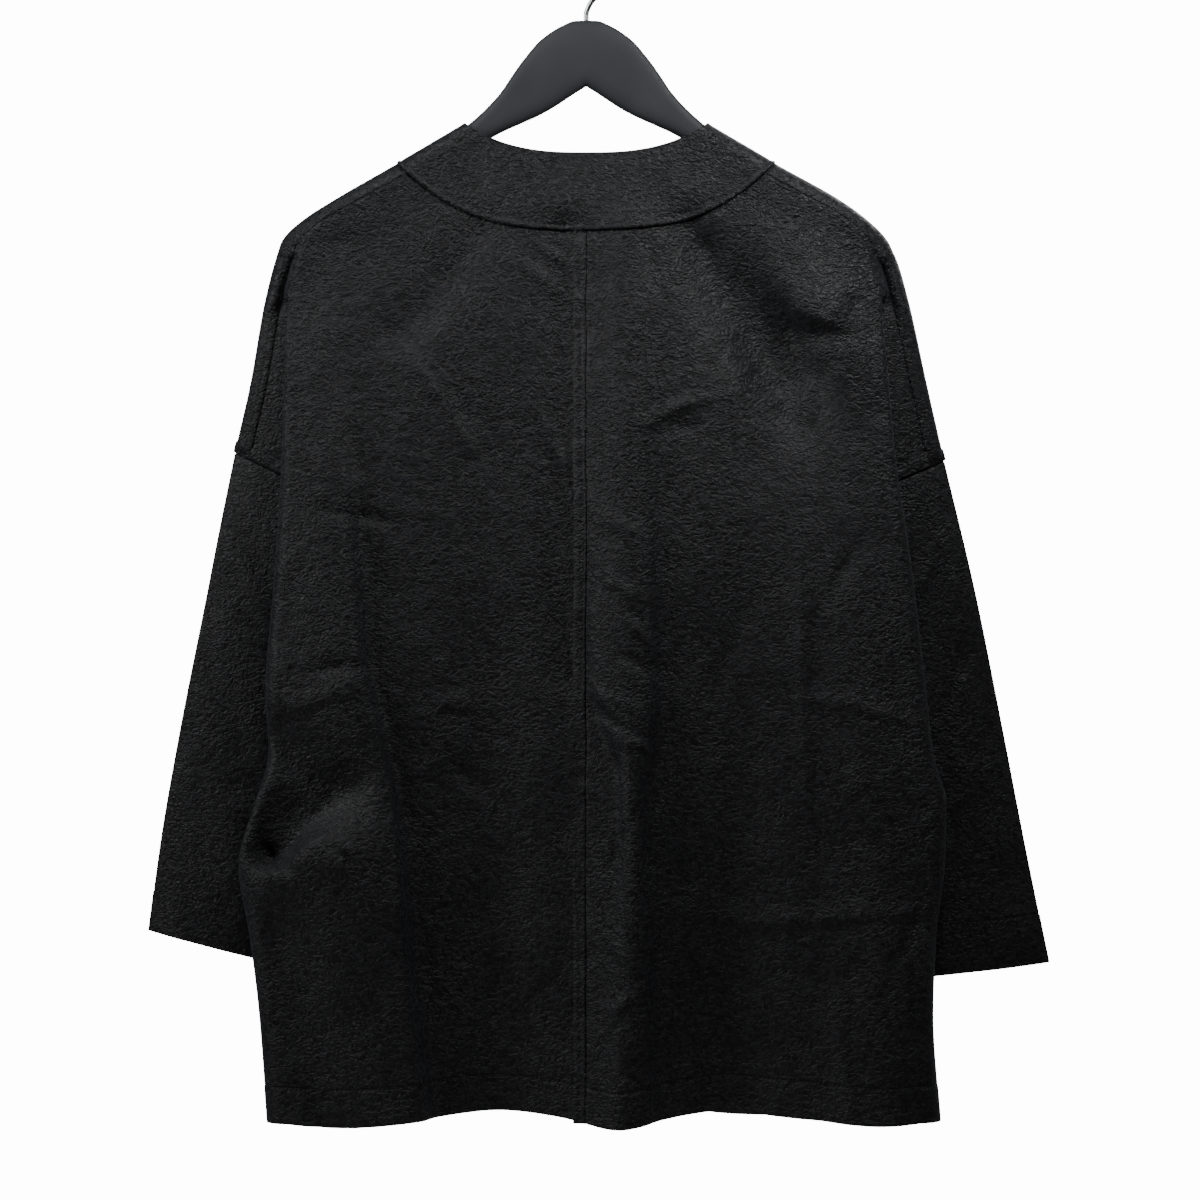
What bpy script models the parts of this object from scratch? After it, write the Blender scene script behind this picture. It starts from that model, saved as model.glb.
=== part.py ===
"""Tunic on a coat hanger, hung with its back towards -Y.

Sizes are in millimetres and are turned into metres where points are placed.
The origin is the inner top of the hook's bend, where the hook hangs on a rod.
Every point of the cloth is given by how far it lies from the centre line,
how far it stands out of the plane of the hanger, and how far it lies below
the top of the hanger (its drop).
"""

import math

import bmesh
import bpy
import numpy as np

MM = 0.001
LEFT, RIGHT = -1, 1
BACK, FRONT = -1, 1

# Cloth
CLOTH = 1.2
BAND_CLOTH = 1.6
SEAM_GAP = 0.3
LAYER_GAP = 0.9

# Places, as distance from the centre line and drop
HANGER_TOP = 58.0
NECK_WIDTH, NECK_CORNER_DROP = 88.0, 75.0
BAND_WIDTH_AT_SHOULDER, BAND_DROP_AT_SHOULDER = 135.5, 103.0
BACK_NECK_DROP, BACK_BAND_DROP = 96.5, 151.5
FRONT_NECK_DROP, FRONT_BAND_DROP = 186.0, 242.0
SHOULDER_SEAM_BEHIND_RIDGE = 12.0
EDGE_START = 188.0
HEM_DROP = 788.0
UNDERARM_WIDTH, UNDERARM_DROP = 98.0, 385.0
SIDE_SEAM_WIDTH = 86.0
HEM_FOLLOWS_FOLD = 0.4

# Folds in the thickness of the hanging cloth
SLEEVE_DEPTH, CUFF_DEPTH = 14.0, 16.0
FLAT_UNDERARM_LENGTH = 0.3
VALLEY_RADIUS = 2.4
LEAST_EDGE_RADIUS = 1.8
RETURN_POWER = 0.5
RETURN_END_AT_ARM, RETURN_END_BELOW = 12.0, 22.0
SLEEVE_MIDDLE = 186.0
STEEP_TURN = 0.75

# Hanger and hook, and the cloth's clearance from them
CLOTH_OVER_HANGER = 2.7
CLEAR_OF_HANGER = 2.6
SHOULDER_ROUND_WIDTH = 184.0
WIRE_RADIUS = 1.9
HOOK_RADIUS = 21.5
STEM_IN_HANGER = 20.0
BORE_CLEARANCE = 0.3

# Neck band, and the gaps round it
BAND_FLAT_TOP = 1.5
BAND_PROUD = 0.5
BELOW_BAND = 0.7
BAND_SEAM = 2.0
BAND_END_SHARES = [0.965, 0.988, 1.0]
BACK_SEAM_START = 127.5

# Shoulder seam round the hanger's tip
PAST_TIP = 0.6
TIP_SEAM_GAP, TIP_DROP, TIP_REACH = 0.7, 182.0, 14.0
CURVE_FADES = 0.013

# Levels of a panel's rows, as shares of its length
ARMHOLE_LEVEL, UNDERARM_LEVEL = 0.2706, 0.3838
FIRST_BACK_LEVELS = (0.0, 0.014, 0.029, 0.045)
FIRST_FRONT_LEVELS = (0.0, 0.003, 0.009, 0.019)
ARMHOLE_SHARES = (0.18, 0.36, 0.54, 0.7, 0.83, 0.93, 1.0)
ARMHOLE_EASE = 1.3
UPPER_ROWS, LOWER_ROWS = 7, 10

# Columns and rows of the other pieces
FACE_COLUMNS, CORNER_COLUMN = 11, 8
TURN_COLUMNS, RETURN_COLUMNS = 4, 4
OUTER_SHARES = (0.0, 0.3, 0.62, 0.86, 1.0)
BELOW_ARM_SHARES = (0.25, 0.47, 0.66, 0.81, 0.92, 1.0)
STRIP_SHARES = (0.22, 0.55, 1.0)
SLEEVE_ROWS, SLEEVE_SIDE_COLUMNS = 12, 9
LEAST_SHARE = 0.001
BAND_ROWS = 4
HANGER_SIDES = 16
HOOK_POINTS = 34

# The shoulder line along the top of the hanger, over its tip and down the sleeve
SHOULDER_LINE = [
    # place, left width, right width, left drop, right drop
    ("neck corner", 88.0, 88.0, 75.0, 75.0),
    ("band edge", 135.5, 135.5, 103.0, 103.0),
    ("mid shoulder", 184.0, 185.0, 131.0, 131.0),
    ("before the tip", 206.0, 204.5, 145.5, 145.5),
    ("tip", 219.5, 217.5, 159.0, 159.0),
    ("below the tip", 225.0, 225.0, 175.0, 175.0),
    ("upper arm", 232.5, 233.5, 205.0, 205.0),
    ("middle arm", 242.5, 246.0, 262.0, 262.0),
    ("armhole", 253.5, 258.5, 311.0, 317.0),
    ("elbow", 272.0, 281.0, 409.0, 412.0),
    ("forearm", 292.0, 301.0, 510.0, 512.0),
    ("wrist", 306.0, 318.0, 590.0, 600.0),
    ("cuff", 315.0, 334.5, 657.0, 681.0),
]
TIP_ROW, ARMHOLE_ROW, CUFF_ROW = 4, 8, 12
CUFF_INNER_WIDTH = {LEFT: 157.0, RIGHT: 171.0}
CUFF_INNER_DROP = {LEFT: 697.0, RIGHT: 698.0}

# The upright edge where the body turns back behind itself
BODY_EDGE = [
    # drop, left width, right width
    (134.0, 188.0, 188.0),
    (150.0, 194.0, 193.0),
    (170.0, 203.0, 201.0),
    (187.0, 209.0, 207.0),
    (206.0, 213.0, 211.0),
    (230.0, 215.5, 214.0),
    (314.0, 217.7, 221.5),
    (405.0, 223.0, 234.0),
    (488.0, 229.0, 243.5),
    (528.0, 227.0, 248.0),
    (566.0, 237.0, 257.5),
    (609.0, 248.0, 256.0),
    (658.0, 240.0, 250.0),
    (713.0, 233.0, 247.6),
    (788.0, 227.0, 252.5),
]

# The hidden valley between the body and the top of the sleeve
VALLEY = [
    # drop, width, stand-off, return depth, sleeve depth, how far the fold is open
    (134.0, 206.0, 11.0, 12.0, 9.0, 0.0),
    (172.0, 208.0, 11.0, 13.0, 9.0, 0.0),
    (200.0, 203.0, 11.0, 13.2, 9.0, 0.0),
    (216.0, 198.0, 11.0, 13.6, 9.0, 0.85),
    (232.0, 184.0, 11.0, 14.5, 9.5, 1.0),
    (245.0, 176.0, 10.5, 15.5, 10.5, 1.0),
    (275.0, 156.0, 9.5, 18.5, 12.0, 1.0),
    (311.0, 134.0, 8.0, 20.0, 13.5, 1.0),
    (350.0, 117.0, 8.0, 20.5, 14.0, 1.0),
    (385.0, 106.5, 8.6, 21.0, 14.0, 1.0),
    (788.0, 90.0, 0.9, 21.0, 14.0, 1.0),
]

# How far the body's two faces stand out as they fall
FACE_STAND_OFF = [
    # drop, back, front
    (90.0, 10.0, 10.0),
    (150.0, 15.0, 15.5),
    (230.0, 22.0, 23.0),
    (314.0, 29.0, 29.0),
    (405.0, 36.0, 35.0),
    (550.0, 42.0, 42.0),
    (680.0, 46.0, 46.0),
    (788.0, 48.0, 48.0),
]

BACK_FOLDS = [
    # place, x and drop at its top, x and drop at its foot, half widths, stand-outs
    ("left side fold", -198, 240, -174, 830, 30, 46, 1, 15),
    ("left trough", -72, 300, -62, 830, 30, 42, -2, -13),
    ("centre fold", 30, 150, 20, 830, 17, 28, 4, 16),
    ("centre valley", -16, 150, -18, 470, 12, 14, -5, -3),
    ("right trough", 112, 420, 98, 830, 28, 36, -3, -12),
    ("right side fold", 196, 420, 210, 830, 24, 38, 2, 12),
    ("right hollow", 75, 152, 147, 275, 15, 22, -7, -10),
    ("right pad", 150, 150, 192, 240, 22, 26, 2, 3),
    ("left hollow", -76, 155, -134, 225, 14, 18, -3, -4),
    ("waist dent", -222, 520, -168, 560, 20, 22, -9, -8),
    ("waist roll", -236, 590, -178, 602, 16, 18, 6, 5),
]

FRONT_FOLDS = [
    # place, x and drop at its top, x and drop at its foot, half widths, stand-outs
    ("left side fold", -196, 260, -186, 830, 28, 40, 1, 13),
    ("left trough", -110, 320, -116, 830, 28, 38, -2, -12),
    ("left centre fold", -46, 270, -38, 830, 22, 34, 2, 14),
    ("right centre trough", 34, 300, 42, 830, 22, 32, -2, -11),
    ("right fold", 112, 260, 118, 830, 24, 36, 2, 14),
    ("right side fold", 200, 400, 206, 830, 24, 34, 1, 8),
    ("left hollow", -84, 190, -142, 290, 16, 22, -4, -7),
    ("right hollow", 84, 190, 140, 285, 16, 22, -4, -6),
]

HANGER_SHAPE = [
    # width, drop of the upper edge, drop of the lower edge, half thickness
    (0.0, 0.0, 47.5, 6.5),
    (8.0, 0.2, 52.5, 6.5),
    (17.0, 3.6, 58.5, 6.5),
    (26.0, 8.8, 64.2, 6.5),
    (35.0, 16.0, 69.0, 6.5),
    (41.0, 23.0, 71.8, 6.5),
    (47.0, 30.5, 74.4, 6.5),
    (54.0, 40.5, 77.5, 6.5),
    (61.6, 51.8, 81.0, 6.5),
    (74.0, 65.3, 88.0, 6.7),
    (88.0, 77.2, 96.5, 7.2),
    (112.0, 92.0, 111.0, 8.4),
    (135.5, 106.0, 126.0, 10.2),
    (160.0, 120.2, 141.5, 12.2),
    (184.0, 134.4, 156.0, 13.6),
    (198.0, 143.8, 163.5, 12.6),
    (206.0, 150.8, 166.0, 9.6),
    (211.0, 156.6, 165.5, 5.5),
]

COLLECTION = "tunic_on_hanger"
COLOURS = {
    # red, green, blue, roughness
    "cloth": (0.012, 0.013, 0.017, 0.92),
    "hanger": (0.045, 0.047, 0.052, 0.6),
    "steel": (0.62, 0.63, 0.65, 0.28),
}


def smooth_step(low, high, value):
    """Rises smoothly from 0 at low to 1 at high."""
    share = np.clip((value - low) / (high - low), 0.0, 1.0)
    return share * share * (3.0 - 2.0 * share)


def smooth_curve(places, values, at):
    """A smooth curve through the values, without overshoot between them."""
    places = np.asarray(places, float)
    values = np.asarray(values, float)
    steps = np.diff(places)
    slopes = np.diff(values) / steps
    tangents = np.zeros(len(values))
    tangents[0], tangents[-1] = slopes[0], slopes[-1]
    for i in range(1, len(values) - 1):
        before, after = slopes[i - 1], slopes[i]
        if before * after > 0.0:
            tangents[i] = 2.0 * before * after / (before + after)
    at = float(np.clip(at, places[0], places[-1]))
    i = int(np.clip(np.searchsorted(places, at) - 1, 0, len(steps) - 1))
    t = (at - places[i]) / steps[i]
    return float(
        values[i] * (1 + 2 * t) * (1 - t) ** 2
        + tangents[i] * steps[i] * t * (1 - t) ** 2
        + values[i + 1] * t * t * (3 - 2 * t)
        + tangents[i + 1] * steps[i] * t * t * (t - 1)
    )


def column(table, number):
    """One column of a table."""
    return [row[number] for row in table]


def shoulder_point(side, place):
    """Width and drop of the shoulder line at a place counted in table rows."""
    rows = range(len(SHOULDER_LINE))
    width_column, drop_column = (1, 3) if side == LEFT else (2, 4)
    width = smooth_curve(rows, column(SHOULDER_LINE, width_column), place)
    drop = smooth_curve(rows, column(SHOULDER_LINE, drop_column), place)
    return np.array([width, drop])


def shoulder_inward(side, place):
    """Unit vector in the hanger's plane from the shoulder line into the cloth."""
    ahead = shoulder_point(side, min(place + 0.05, CUFF_ROW))
    behind = shoulder_point(side, max(place - 0.05, 0.0))
    along = (ahead - behind) / np.linalg.norm(ahead - behind)
    return np.array([-along[1], along[0]])


def seam_point(side, place):
    """The shoulder seam, which lies behind the shoulder line."""
    start = np.array([-2.0, -1.2]) * (1.0 - smooth_step(1.0, 1.6, place))
    inward = shoulder_inward(side, place) * SHOULDER_SEAM_BEHIND_RIDGE
    return shoulder_point(side, place) + inward + start


def ridge_drop(side, width):
    """Drop of the shoulder line over the hanger at one width."""
    number = 1 if side == LEFT else 2
    widths = column(SHOULDER_LINE, number)[: TIP_ROW + 2]
    drops = column(SHOULDER_LINE, number + 2)[: TIP_ROW + 2]
    return smooth_curve(widths, drops, width)


def hanger_at(width):
    """Upper edge, lower edge, half thickness and roundness of the hanger at one width."""
    widths = column(HANGER_SHAPE, 0)
    upper, lower, half = [smooth_curve(widths, column(HANGER_SHAPE, k), width) for k in (1, 2, 3)]
    return upper, lower, half, 0.55 + 0.4 * smooth_step(55.0, 100.0, width)


def shoulder_radius(width):
    """Radius at which the cloth rounds over the hanger."""
    return hanger_at(min(width, SHOULDER_ROUND_WIDTH))[2] + CLOTH_OVER_HANGER


def clear_of_hanger(width, drop):
    """The least stand-off that keeps cloth clear of the hanger's side."""
    upper, lower, half, roundness = hanger_at(width)
    upright = abs(2.0 * (drop - upper) / (lower - upper) - 1.0)
    if width > HANGER_SHAPE[-1][0] or upright >= 1.0:
        return 0.0
    angle = math.acos(upright ** (1.0 / roundness))
    return half * math.sin(angle) ** roundness + CLEAR_OF_HANGER


def fold_height(folds, x, drop):
    """How far the folds stand out at one place, in towards the hanger if negative."""
    height = 0.0
    for _, x0, drop0, x1, drop1, width0, width1, out0, out1 in folds:
        along = np.array([x1 - x0, drop1 - drop0], float)
        length = np.linalg.norm(along)
        away = np.array([x - x0, drop - drop0])
        share = float(away @ along) / length**2
        across = abs(float(away[0] * along[1] - away[1] * along[0])) / length
        inside = min(max(share, 0.0), 1.0)
        past = max(share - 1.0, -share, 0.0) * length
        half_width = width0 + (width1 - width0) * inside
        out = out0 + (out1 - out0) * inside
        height += out * math.exp(-(across**2 + past**2) / half_width**2)
    return height


def face_depth(facing, x, drop):
    """How far the back or the front face of the body stands out."""
    number, folds = (1, BACK_FOLDS) if facing == BACK else (2, FRONT_FOLDS)
    side = LEFT if x < 0.0 else RIGHT
    width = abs(x)
    on_hanger = shoulder_radius(width)
    free = smooth_curve(column(FACE_STAND_OFF, 0), column(FACE_STAND_OFF, number), drop)
    below = drop - ridge_drop(side, max(width, NECK_WIDTH))
    hangs = smooth_step(20.0, 110.0, below)
    fold = fold_height(folds, x, drop) * smooth_step(12.0, 60.0, below)
    on_arm = smooth_step(60.0, 100.0, width)
    near_top = on_hanger * on_arm + free * (1.0 - on_arm)
    depth = near_top * (1.0 - hangs) + free * hangs + fold
    least = on_hanger if below < 60.0 else 4.0
    return max(depth, least)


def hem_drop(facing, x):
    """Drop of the hem, lower where a fold comes forward."""
    folds = BACK_FOLDS if facing == BACK else FRONT_FOLDS
    return HEM_DROP + HEM_FOLLOWS_FOLD * fold_height(folds, x, HEM_DROP)


def edge_width(side, drop):
    """Width of the body's upright edge."""
    return smooth_curve(column(BODY_EDGE, 0), column(BODY_EDGE, 1 if side == LEFT else 2), drop)


def lens(share, power=0.7):
    """Height of a flattened tube's layer, from 0 at its fold to 1 in its middle."""
    share = min(max(share, 0.0), 1.0)
    return (1.0 - (1.0 - share) ** 2) ** power


def spline(points, shares):
    """Points at the given shares of a smooth line through a row of points."""
    points = np.asarray(points, float)
    runs = np.linalg.norm(np.diff(points, axis=0), axis=1)
    places = np.concatenate([[0.0], np.cumsum(runs)])
    places /= places[-1]
    return [[smooth_curve(places, points[:, k], s) for k in range(points.shape[1])] for s in shares]


def valley(drop):
    """Width, stand-off, return depth, sleeve depth and opening of the hidden fold."""
    return [smooth_curve(column(VALLEY, 0), column(VALLEY, k), drop) for k in range(1, 6)]


def sleeve_height(share, along):
    """Half the thickness of the sleeve's tube, from its outer fold (0) to its inner one (1).

    along runs from the armhole (0) to the cuff (1). The tube lies flat at the underarm.
    """
    half_depth = SLEEVE_DEPTH + (CUFF_DEPTH - SLEEVE_DEPTH) * along
    flat = smooth_step(0.45, 0.78, share) * (1.0 - smooth_step(0.0, FLAT_UNDERARM_LENGTH, along))
    return half_depth * lens(2.0 * min(share, 1.0 - share)) * (1.0 - flat)


def armhole_point(side, share):
    """Width, stand-off and drop on the armhole, from shoulder line (0) to underarm (1)."""
    top = shoulder_point(side, ARMHOLE_ROW)
    foot = np.array([UNDERARM_WIDTH, UNDERARM_DROP])
    width, drop = top + (foot - top) * share
    depth = sleeve_height(share, 0.0)
    if share > 0.5:
        depth = max(depth, LAYER_GAP)
    return np.array([width, depth, drop])


def wrap_depth(side, place, inward):
    """Stand-off of the cloth at a distance in from the shoulder line."""
    width, drop = shoulder_point(side, place)
    radius = shoulder_radius(width)
    on_hanger = radius * math.sqrt(1.0 - (1.0 - min(inward / radius, 1.0)) ** 2)
    inner, _, _, sleeve_depth, _ = valley(drop)
    off_hanger = sleeve_depth * lens(2.0 * inward / (width - inner))
    share = smooth_step(TIP_ROW - 0.5, TIP_ROW + 1.5, place)
    return on_hanger * (1.0 - share) + off_hanger * share


def outer_edge(side, facing, level):
    """A panel's outer edge: shoulder seam, then armhole, then side seam."""
    first = TIP_ROW + PAST_TIP
    seam_share = SHOULDER_SEAM_BEHIND_RIDGE / (shoulder_point(side, ARMHOLE_ROW)[0] - UNDERARM_WIDTH)
    if level < ARMHOLE_LEVEL - 1e-6:
        place = first + (ARMHOLE_ROW - first) * level / ARMHOLE_LEVEL
        if facing == FRONT:
            width, drop = shoulder_point(side, place)
            return np.array([width, 0.0, drop])
        width, drop = seam_point(side, place)
        return np.array([width, wrap_depth(side, place, SHOULDER_SEAM_BEHIND_RIDGE), drop])
    if level < UNDERARM_LEVEL - 1e-6:
        share = (level - ARMHOLE_LEVEL) / (UNDERARM_LEVEL - ARMHOLE_LEVEL)
        start = seam_share if facing == BACK else 0.0
        return armhole_point(side, start + (1.0 - start) * share**ARMHOLE_EASE)
    share = (level - UNDERARM_LEVEL) / (1.0 - UNDERARM_LEVEL)
    width = UNDERARM_WIDTH + (SIDE_SEAM_WIDTH - UNDERARM_WIDTH) * smooth_step(0.0, 0.16, share)
    drop = UNDERARM_DROP + (HEM_DROP - UNDERARM_DROP) * share
    return np.array([width, LAYER_GAP, drop])


def top_drop(side, facing, width):
    """Drop of a panel's top edge: under the neck band, then along the shoulder seam."""
    if facing == BACK:
        places = np.linspace(1.0, TIP_ROW + PAST_TIP, 12)
        seam = np.array([seam_point(side, place) for place in places])
        on_seam = smooth_curve(seam[:, 0], seam[:, 1], width)
        under_band = band_edge(facing, width / BAND_WIDTH_AT_SHOULDER, 1.0)[1] + BELOW_BAND
        return on_seam if width >= seam[0, 0] else under_band
    if width >= BAND_WIDTH_AT_SHOULDER:
        return ridge_drop(side, width)
    return band_edge(facing, width / BAND_WIDTH_AT_SHOULDER, 1.0)[1] + BELOW_BAND


def band_edge(facing, share, across):
    """Width and drop on the neck band, from its centre (share 0) to the shoulder (1).

    across runs from the neck (0) to the band's outer edge (1).
    """
    if facing == BACK:
        neck = BACK_NECK_DROP - (BACK_NECK_DROP - NECK_CORNER_DROP) * share**2.8
        edge = BACK_BAND_DROP - (BACK_BAND_DROP - BAND_DROP_AT_SHOULDER) * share**2.9
    else:
        round_off = 1.0 - share**1.8
        neck = NECK_CORNER_DROP + (FRONT_NECK_DROP - NECK_CORNER_DROP) * round_off
        edge = BAND_DROP_AT_SHOULDER + (FRONT_BAND_DROP - BAND_DROP_AT_SHOULDER) * round_off
    width = (NECK_WIDTH + (BAND_WIDTH_AT_SHOULDER - NECK_WIDTH) * across) * share
    return np.array([width, neck + (edge - neck) * across])


def face_point(side, facing, width, drop):
    """Width, stand-off and drop on the outside of the body, rounded over the hanger."""
    below = drop - ridge_drop(side, max(width, NECK_WIDTH))
    radius = shoulder_radius(width)
    rounding = math.sqrt(1.0 - (1.0 - min(max(below / radius, 0.0), 1.0)) ** 2)
    depth = face_depth(facing, side * width, drop) * rounding
    return np.array([width, max(depth, clear_of_hanger(width, drop)), drop])


def top_widths(facing):
    """Widths of a half panel's columns at its top edge, under the band and then past it."""
    if facing == BACK:
        under = np.linspace(0.0, BACK_SEAM_START, CORNER_COLUMN + 1)
    else:
        left_over = np.linspace(1.0, 0.0, CORNER_COLUMN + 1)
        under = (BAND_WIDTH_AT_SHOULDER + BELOW_BAND) * (1.0 - left_over**2.2)
    past = np.linspace(under[-1], EDGE_START, FACE_COLUMNS - CORNER_COLUMN + 1)
    return np.concatenate([under, past[1:]])


def row_of_panel(side, facing, level):
    """One row of a half panel, from the centre to its outer edge."""
    top = top_drop(side, facing, EDGE_START)
    edge_drop = top + (HEM_DROP - top) * level
    edge = edge_width(side, edge_drop)
    _, _, return_depth, _, opening = valley(edge_drop)
    depth = face_point(side, facing, edge - 4.0, edge_drop)[1]
    radius = max((depth - return_depth) / 2.0, LEAST_EDGE_RADIUS)
    face_end = edge - radius * opening
    even = np.linspace(0.0, 1.0, FACE_COLUMNS + 1)
    widths = top_widths(facing)
    evened = smooth_step(0.0, 0.35, level)
    points = []
    for top_width, even_share in zip(widths, even):
        top_share = top_width / EDGE_START
        width = (top_share + (even_share - top_share) * evened) * face_end
        start = top_drop(side, facing, top_width)
        end = hem_drop(facing, side * width)
        points.append(face_point(side, facing, width, start + (end - start) * level))
    return np.array(points + behind_edge(side, facing, level, points[-1], edge, radius))


def behind_edge(side, facing, level, last, edge, radius):
    """The part of a row that turns back behind the body's edge, and out again."""
    drop = last[2]
    inner, stand_off, return_depth, sleeve_depth, opening = valley(drop)
    end = outer_edge(side, facing, level)
    below_arm = level > UNDERARM_LEVEL - 1e-6
    sleeve_edge = end[0] if below_arm else shoulder_width_at(side, drop)
    if below_arm:
        inner, stand_off = end[0], LAYER_GAP
    middle = (inner + (sleeve_edge if not below_arm else SLEEVE_MIDDLE * 2.0 - inner)) / 2.0
    turn = VALLEY_RADIUS if not below_arm else 0.0
    open_points = []
    for k in range(1, TURN_COLUMNS + 1):
        angle = math.pi * k / TURN_COLUMNS
        open_points.append((last[0] + radius * math.sin(angle), last[1] - radius * (1.0 - math.cos(angle))))
    behind = open_points[-1]
    mouth = RETURN_END_AT_ARM
    mouth += (RETURN_END_BELOW - mouth) * smooth_step(UNDERARM_LEVEL, UNDERARM_LEVEL + 0.12, level)
    valley_mouth = inner + (mouth if below_arm else 2.0 * VALLEY_RADIUS)
    for k in range(1, RETURN_COLUMNS + 1):
        share = k / RETURN_COLUMNS
        width = behind[0] + (valley_mouth - behind[0]) * share
        height = stand_off + turn
        height += (return_depth - height) * lens((width - inner) / (middle - inner), RETURN_POWER)
        height += (behind[1] - return_depth) * (1.0 - share) ** 2
        open_points.append((width, height))
    if below_arm:
        for share in BELOW_ARM_SHARES:
            width = valley_mouth + (inner - valley_mouth) * share
            height = lens((width - inner) / (middle - inner), RETURN_POWER)
            height = stand_off + (return_depth - stand_off) * height
            open_points.append((width, height))
    else:
        open_points.append((inner, stand_off))
        steep = STEEP_TURN * smooth_step(UNDERARM_LEVEL - 0.05, UNDERARM_LEVEL - 0.02, level)
        start = inner + 2.0 * VALLEY_RADIUS * (1.0 - steep)
        outer = []
        for share in OUTER_SHARES:
            width = start + (end[0] - start) * share
            height = stand_off - turn
            if width < middle:
                height += (sleeve_depth - height) * lens((width - inner) / (middle - inner))
            else:
                height = sleeve_depth * lens((sleeve_edge - width) / (sleeve_edge - middle))
            outer.append((width, height))
        left_over = end[1] - outer[-1][1]
        for share, (width, height) in zip(OUTER_SHARES, outer):
            open_points.append((width, height + left_over * share))
    count = len(open_points)
    points = []
    for k, (open_width, open_height) in enumerate(open_points, start=1):
        share = k / count
        closed_width = last[0] + (end[0] - last[0]) * share
        rounding = math.sqrt(1.0 - share**2) if facing == FRONT else 1.0 - share**2
        closed_height = end[1] + (last[1] - end[1]) * rounding
        width = closed_width + (open_width - closed_width) * opening
        height = closed_height + (open_height - closed_height) * opening
        along = drop + (end[2] - drop) * share
        top = np.array([EDGE_START, top_drop(side, facing, EDGE_START)])
        on_chord = top + (outer_edge(side, facing, 0.0)[[0, 2]] - top) * share
        curve = top_drop(side, facing, on_chord[0]) - on_chord[1]
        along += curve * (1.0 - smooth_step(0.0, CURVE_FADES, level))
        points.append(np.array([width, height, along]))
    return points


def shoulder_width_at(side, drop):
    """Width of the shoulder and sleeve line at one drop."""
    number = 1 if side == LEFT else 2
    rows = SHOULDER_LINE[TIP_ROW:]
    return smooth_curve(column(rows, number + 2), column(rows, number), drop)


def place_point(side, facing, point):
    """A width, stand-off and drop as a point in metres."""
    width, depth, drop = point
    return (side * width * MM, facing * depth * MM, -(HANGER_TOP + drop) * MM)


def panel_levels(facing):
    """The levels of a panel's rows, from its top edge (0) to its hem (1)."""
    first = FIRST_FRONT_LEVELS if facing == FRONT else FIRST_BACK_LEVELS
    upper = np.linspace(first[-1], ARMHOLE_LEVEL, UPPER_ROWS + 1)[1:]
    arm = [ARMHOLE_LEVEL + (UNDERARM_LEVEL - ARMHOLE_LEVEL) * share for share in ARMHOLE_SHARES]
    lower = np.linspace(UNDERARM_LEVEL, 1.0, LOWER_ROWS + 1)[1:]
    return list(first) + list(upper) + list(arm) + list(lower)


def half_panel(side, facing):
    """The rows of a half panel as points in metres."""
    rows = []
    for level in panel_levels(facing):
        row = row_of_panel(side, facing, level)
        rows.append([place_point(side, facing, point) for point in row])
    return rows


def add_grid(mesh, rows):
    """Adds a sheet of four-sided faces through rows of points, and gives its vertices."""
    verts = [[mesh.verts.new(point) for point in row] for row in rows]
    for upper, lower in zip(verts, verts[1:]):
        for a, b, c, d in zip(upper, upper[1:], lower[1:], lower):
            mesh.faces.new((a, d, c, b))
    return verts


def material(name, kind):
    """A plain material with the colour of one of the real materials."""
    red, green, blue, roughness = COLOURS[kind]
    made = bpy.data.materials.new(name)
    made.use_nodes = True
    shader = made.node_tree.nodes["Principled BSDF"]
    shader.inputs["Base Color"].default_value = (red, green, blue, 1.0)
    shader.inputs["Roughness"].default_value = roughness
    shader.inputs["Metallic"].default_value = 1.0 if kind == "steel" else 0.0
    made.diffuse_color = (red, green, blue, 1.0)
    return made


def add_object(name, mesh, collection, kind):
    """Makes an object of a bmesh."""
    data = bpy.data.meshes.new(name)
    mesh.to_mesh(data)
    mesh.free()
    made = bpy.data.objects.new(name, data)
    made.data.materials.append(material(name, kind))
    collection.objects.link(made)
    data.shade_smooth()
    return made


def add_wall(made, thickness, offset=0.0):
    """Gives an open sheet its thickness."""
    wall = made.modifiers.new("wall", "SOLIDIFY")
    wall.thickness = thickness * MM
    wall.offset = offset
    wall.use_rim = True
    return made


def shift_centre(rows, side):
    """Moves the centre column of a half panel off the centre seam."""
    for row in rows:
        row[0] = (side * SEAM_GAP / 2.0 * MM, row[0][1], row[0][2])
    return rows


def add_back(collection):
    """The two halves of the back, joined by the centre seam."""
    for side, name in ((LEFT, "back_left"), (RIGHT, "back_right")):
        rows = shift_centre(half_panel(side, BACK), side)
        if side == LEFT:
            rows = [row[::-1] for row in rows]
        mesh = bmesh.new()
        add_grid(mesh, rows)
        add_wall(add_object(name, mesh, collection, "cloth"), CLOTH)


def seam_edge(side, facing):
    """The edge of a half panel along the shoulder seam, from the neck band to the armhole."""
    levels = [level for level in panel_levels(facing) if level <= ARMHOLE_LEVEL + 1e-6]
    top = row_of_panel(side, facing, 0.0)[CORNER_COLUMN:]
    return list(top) + [row_of_panel(side, facing, level)[-1] for level in levels[1:]]


def shoulder_strip(side):
    """The strip of the front that turns over the shoulder line to the seam behind it."""
    strips = []
    ridges, seams = seam_edge(side, FRONT), seam_edge(side, BACK)
    for share in STRIP_SHARES:
        strip = []
        for ridge, seam in zip(ridges, seams):
            gap = SEAM_GAP + TIP_SEAM_GAP * math.exp(-(((seam[2] - TIP_DROP) / TIP_REACH) ** 2))
            reach = share * (1.0 - gap / SHOULDER_SEAM_BEHIND_RIDGE)
            point = ridge + (seam - ridge) * reach
            point[1] = seam[1] * math.sqrt(1.0 - (1.0 - share) ** 2)
            point[1] = max(point[1], clear_of_hanger(point[0], point[2]))
            strip.append(place_point(side, BACK, point))
        strips.append(strip)
    return strips


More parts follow.
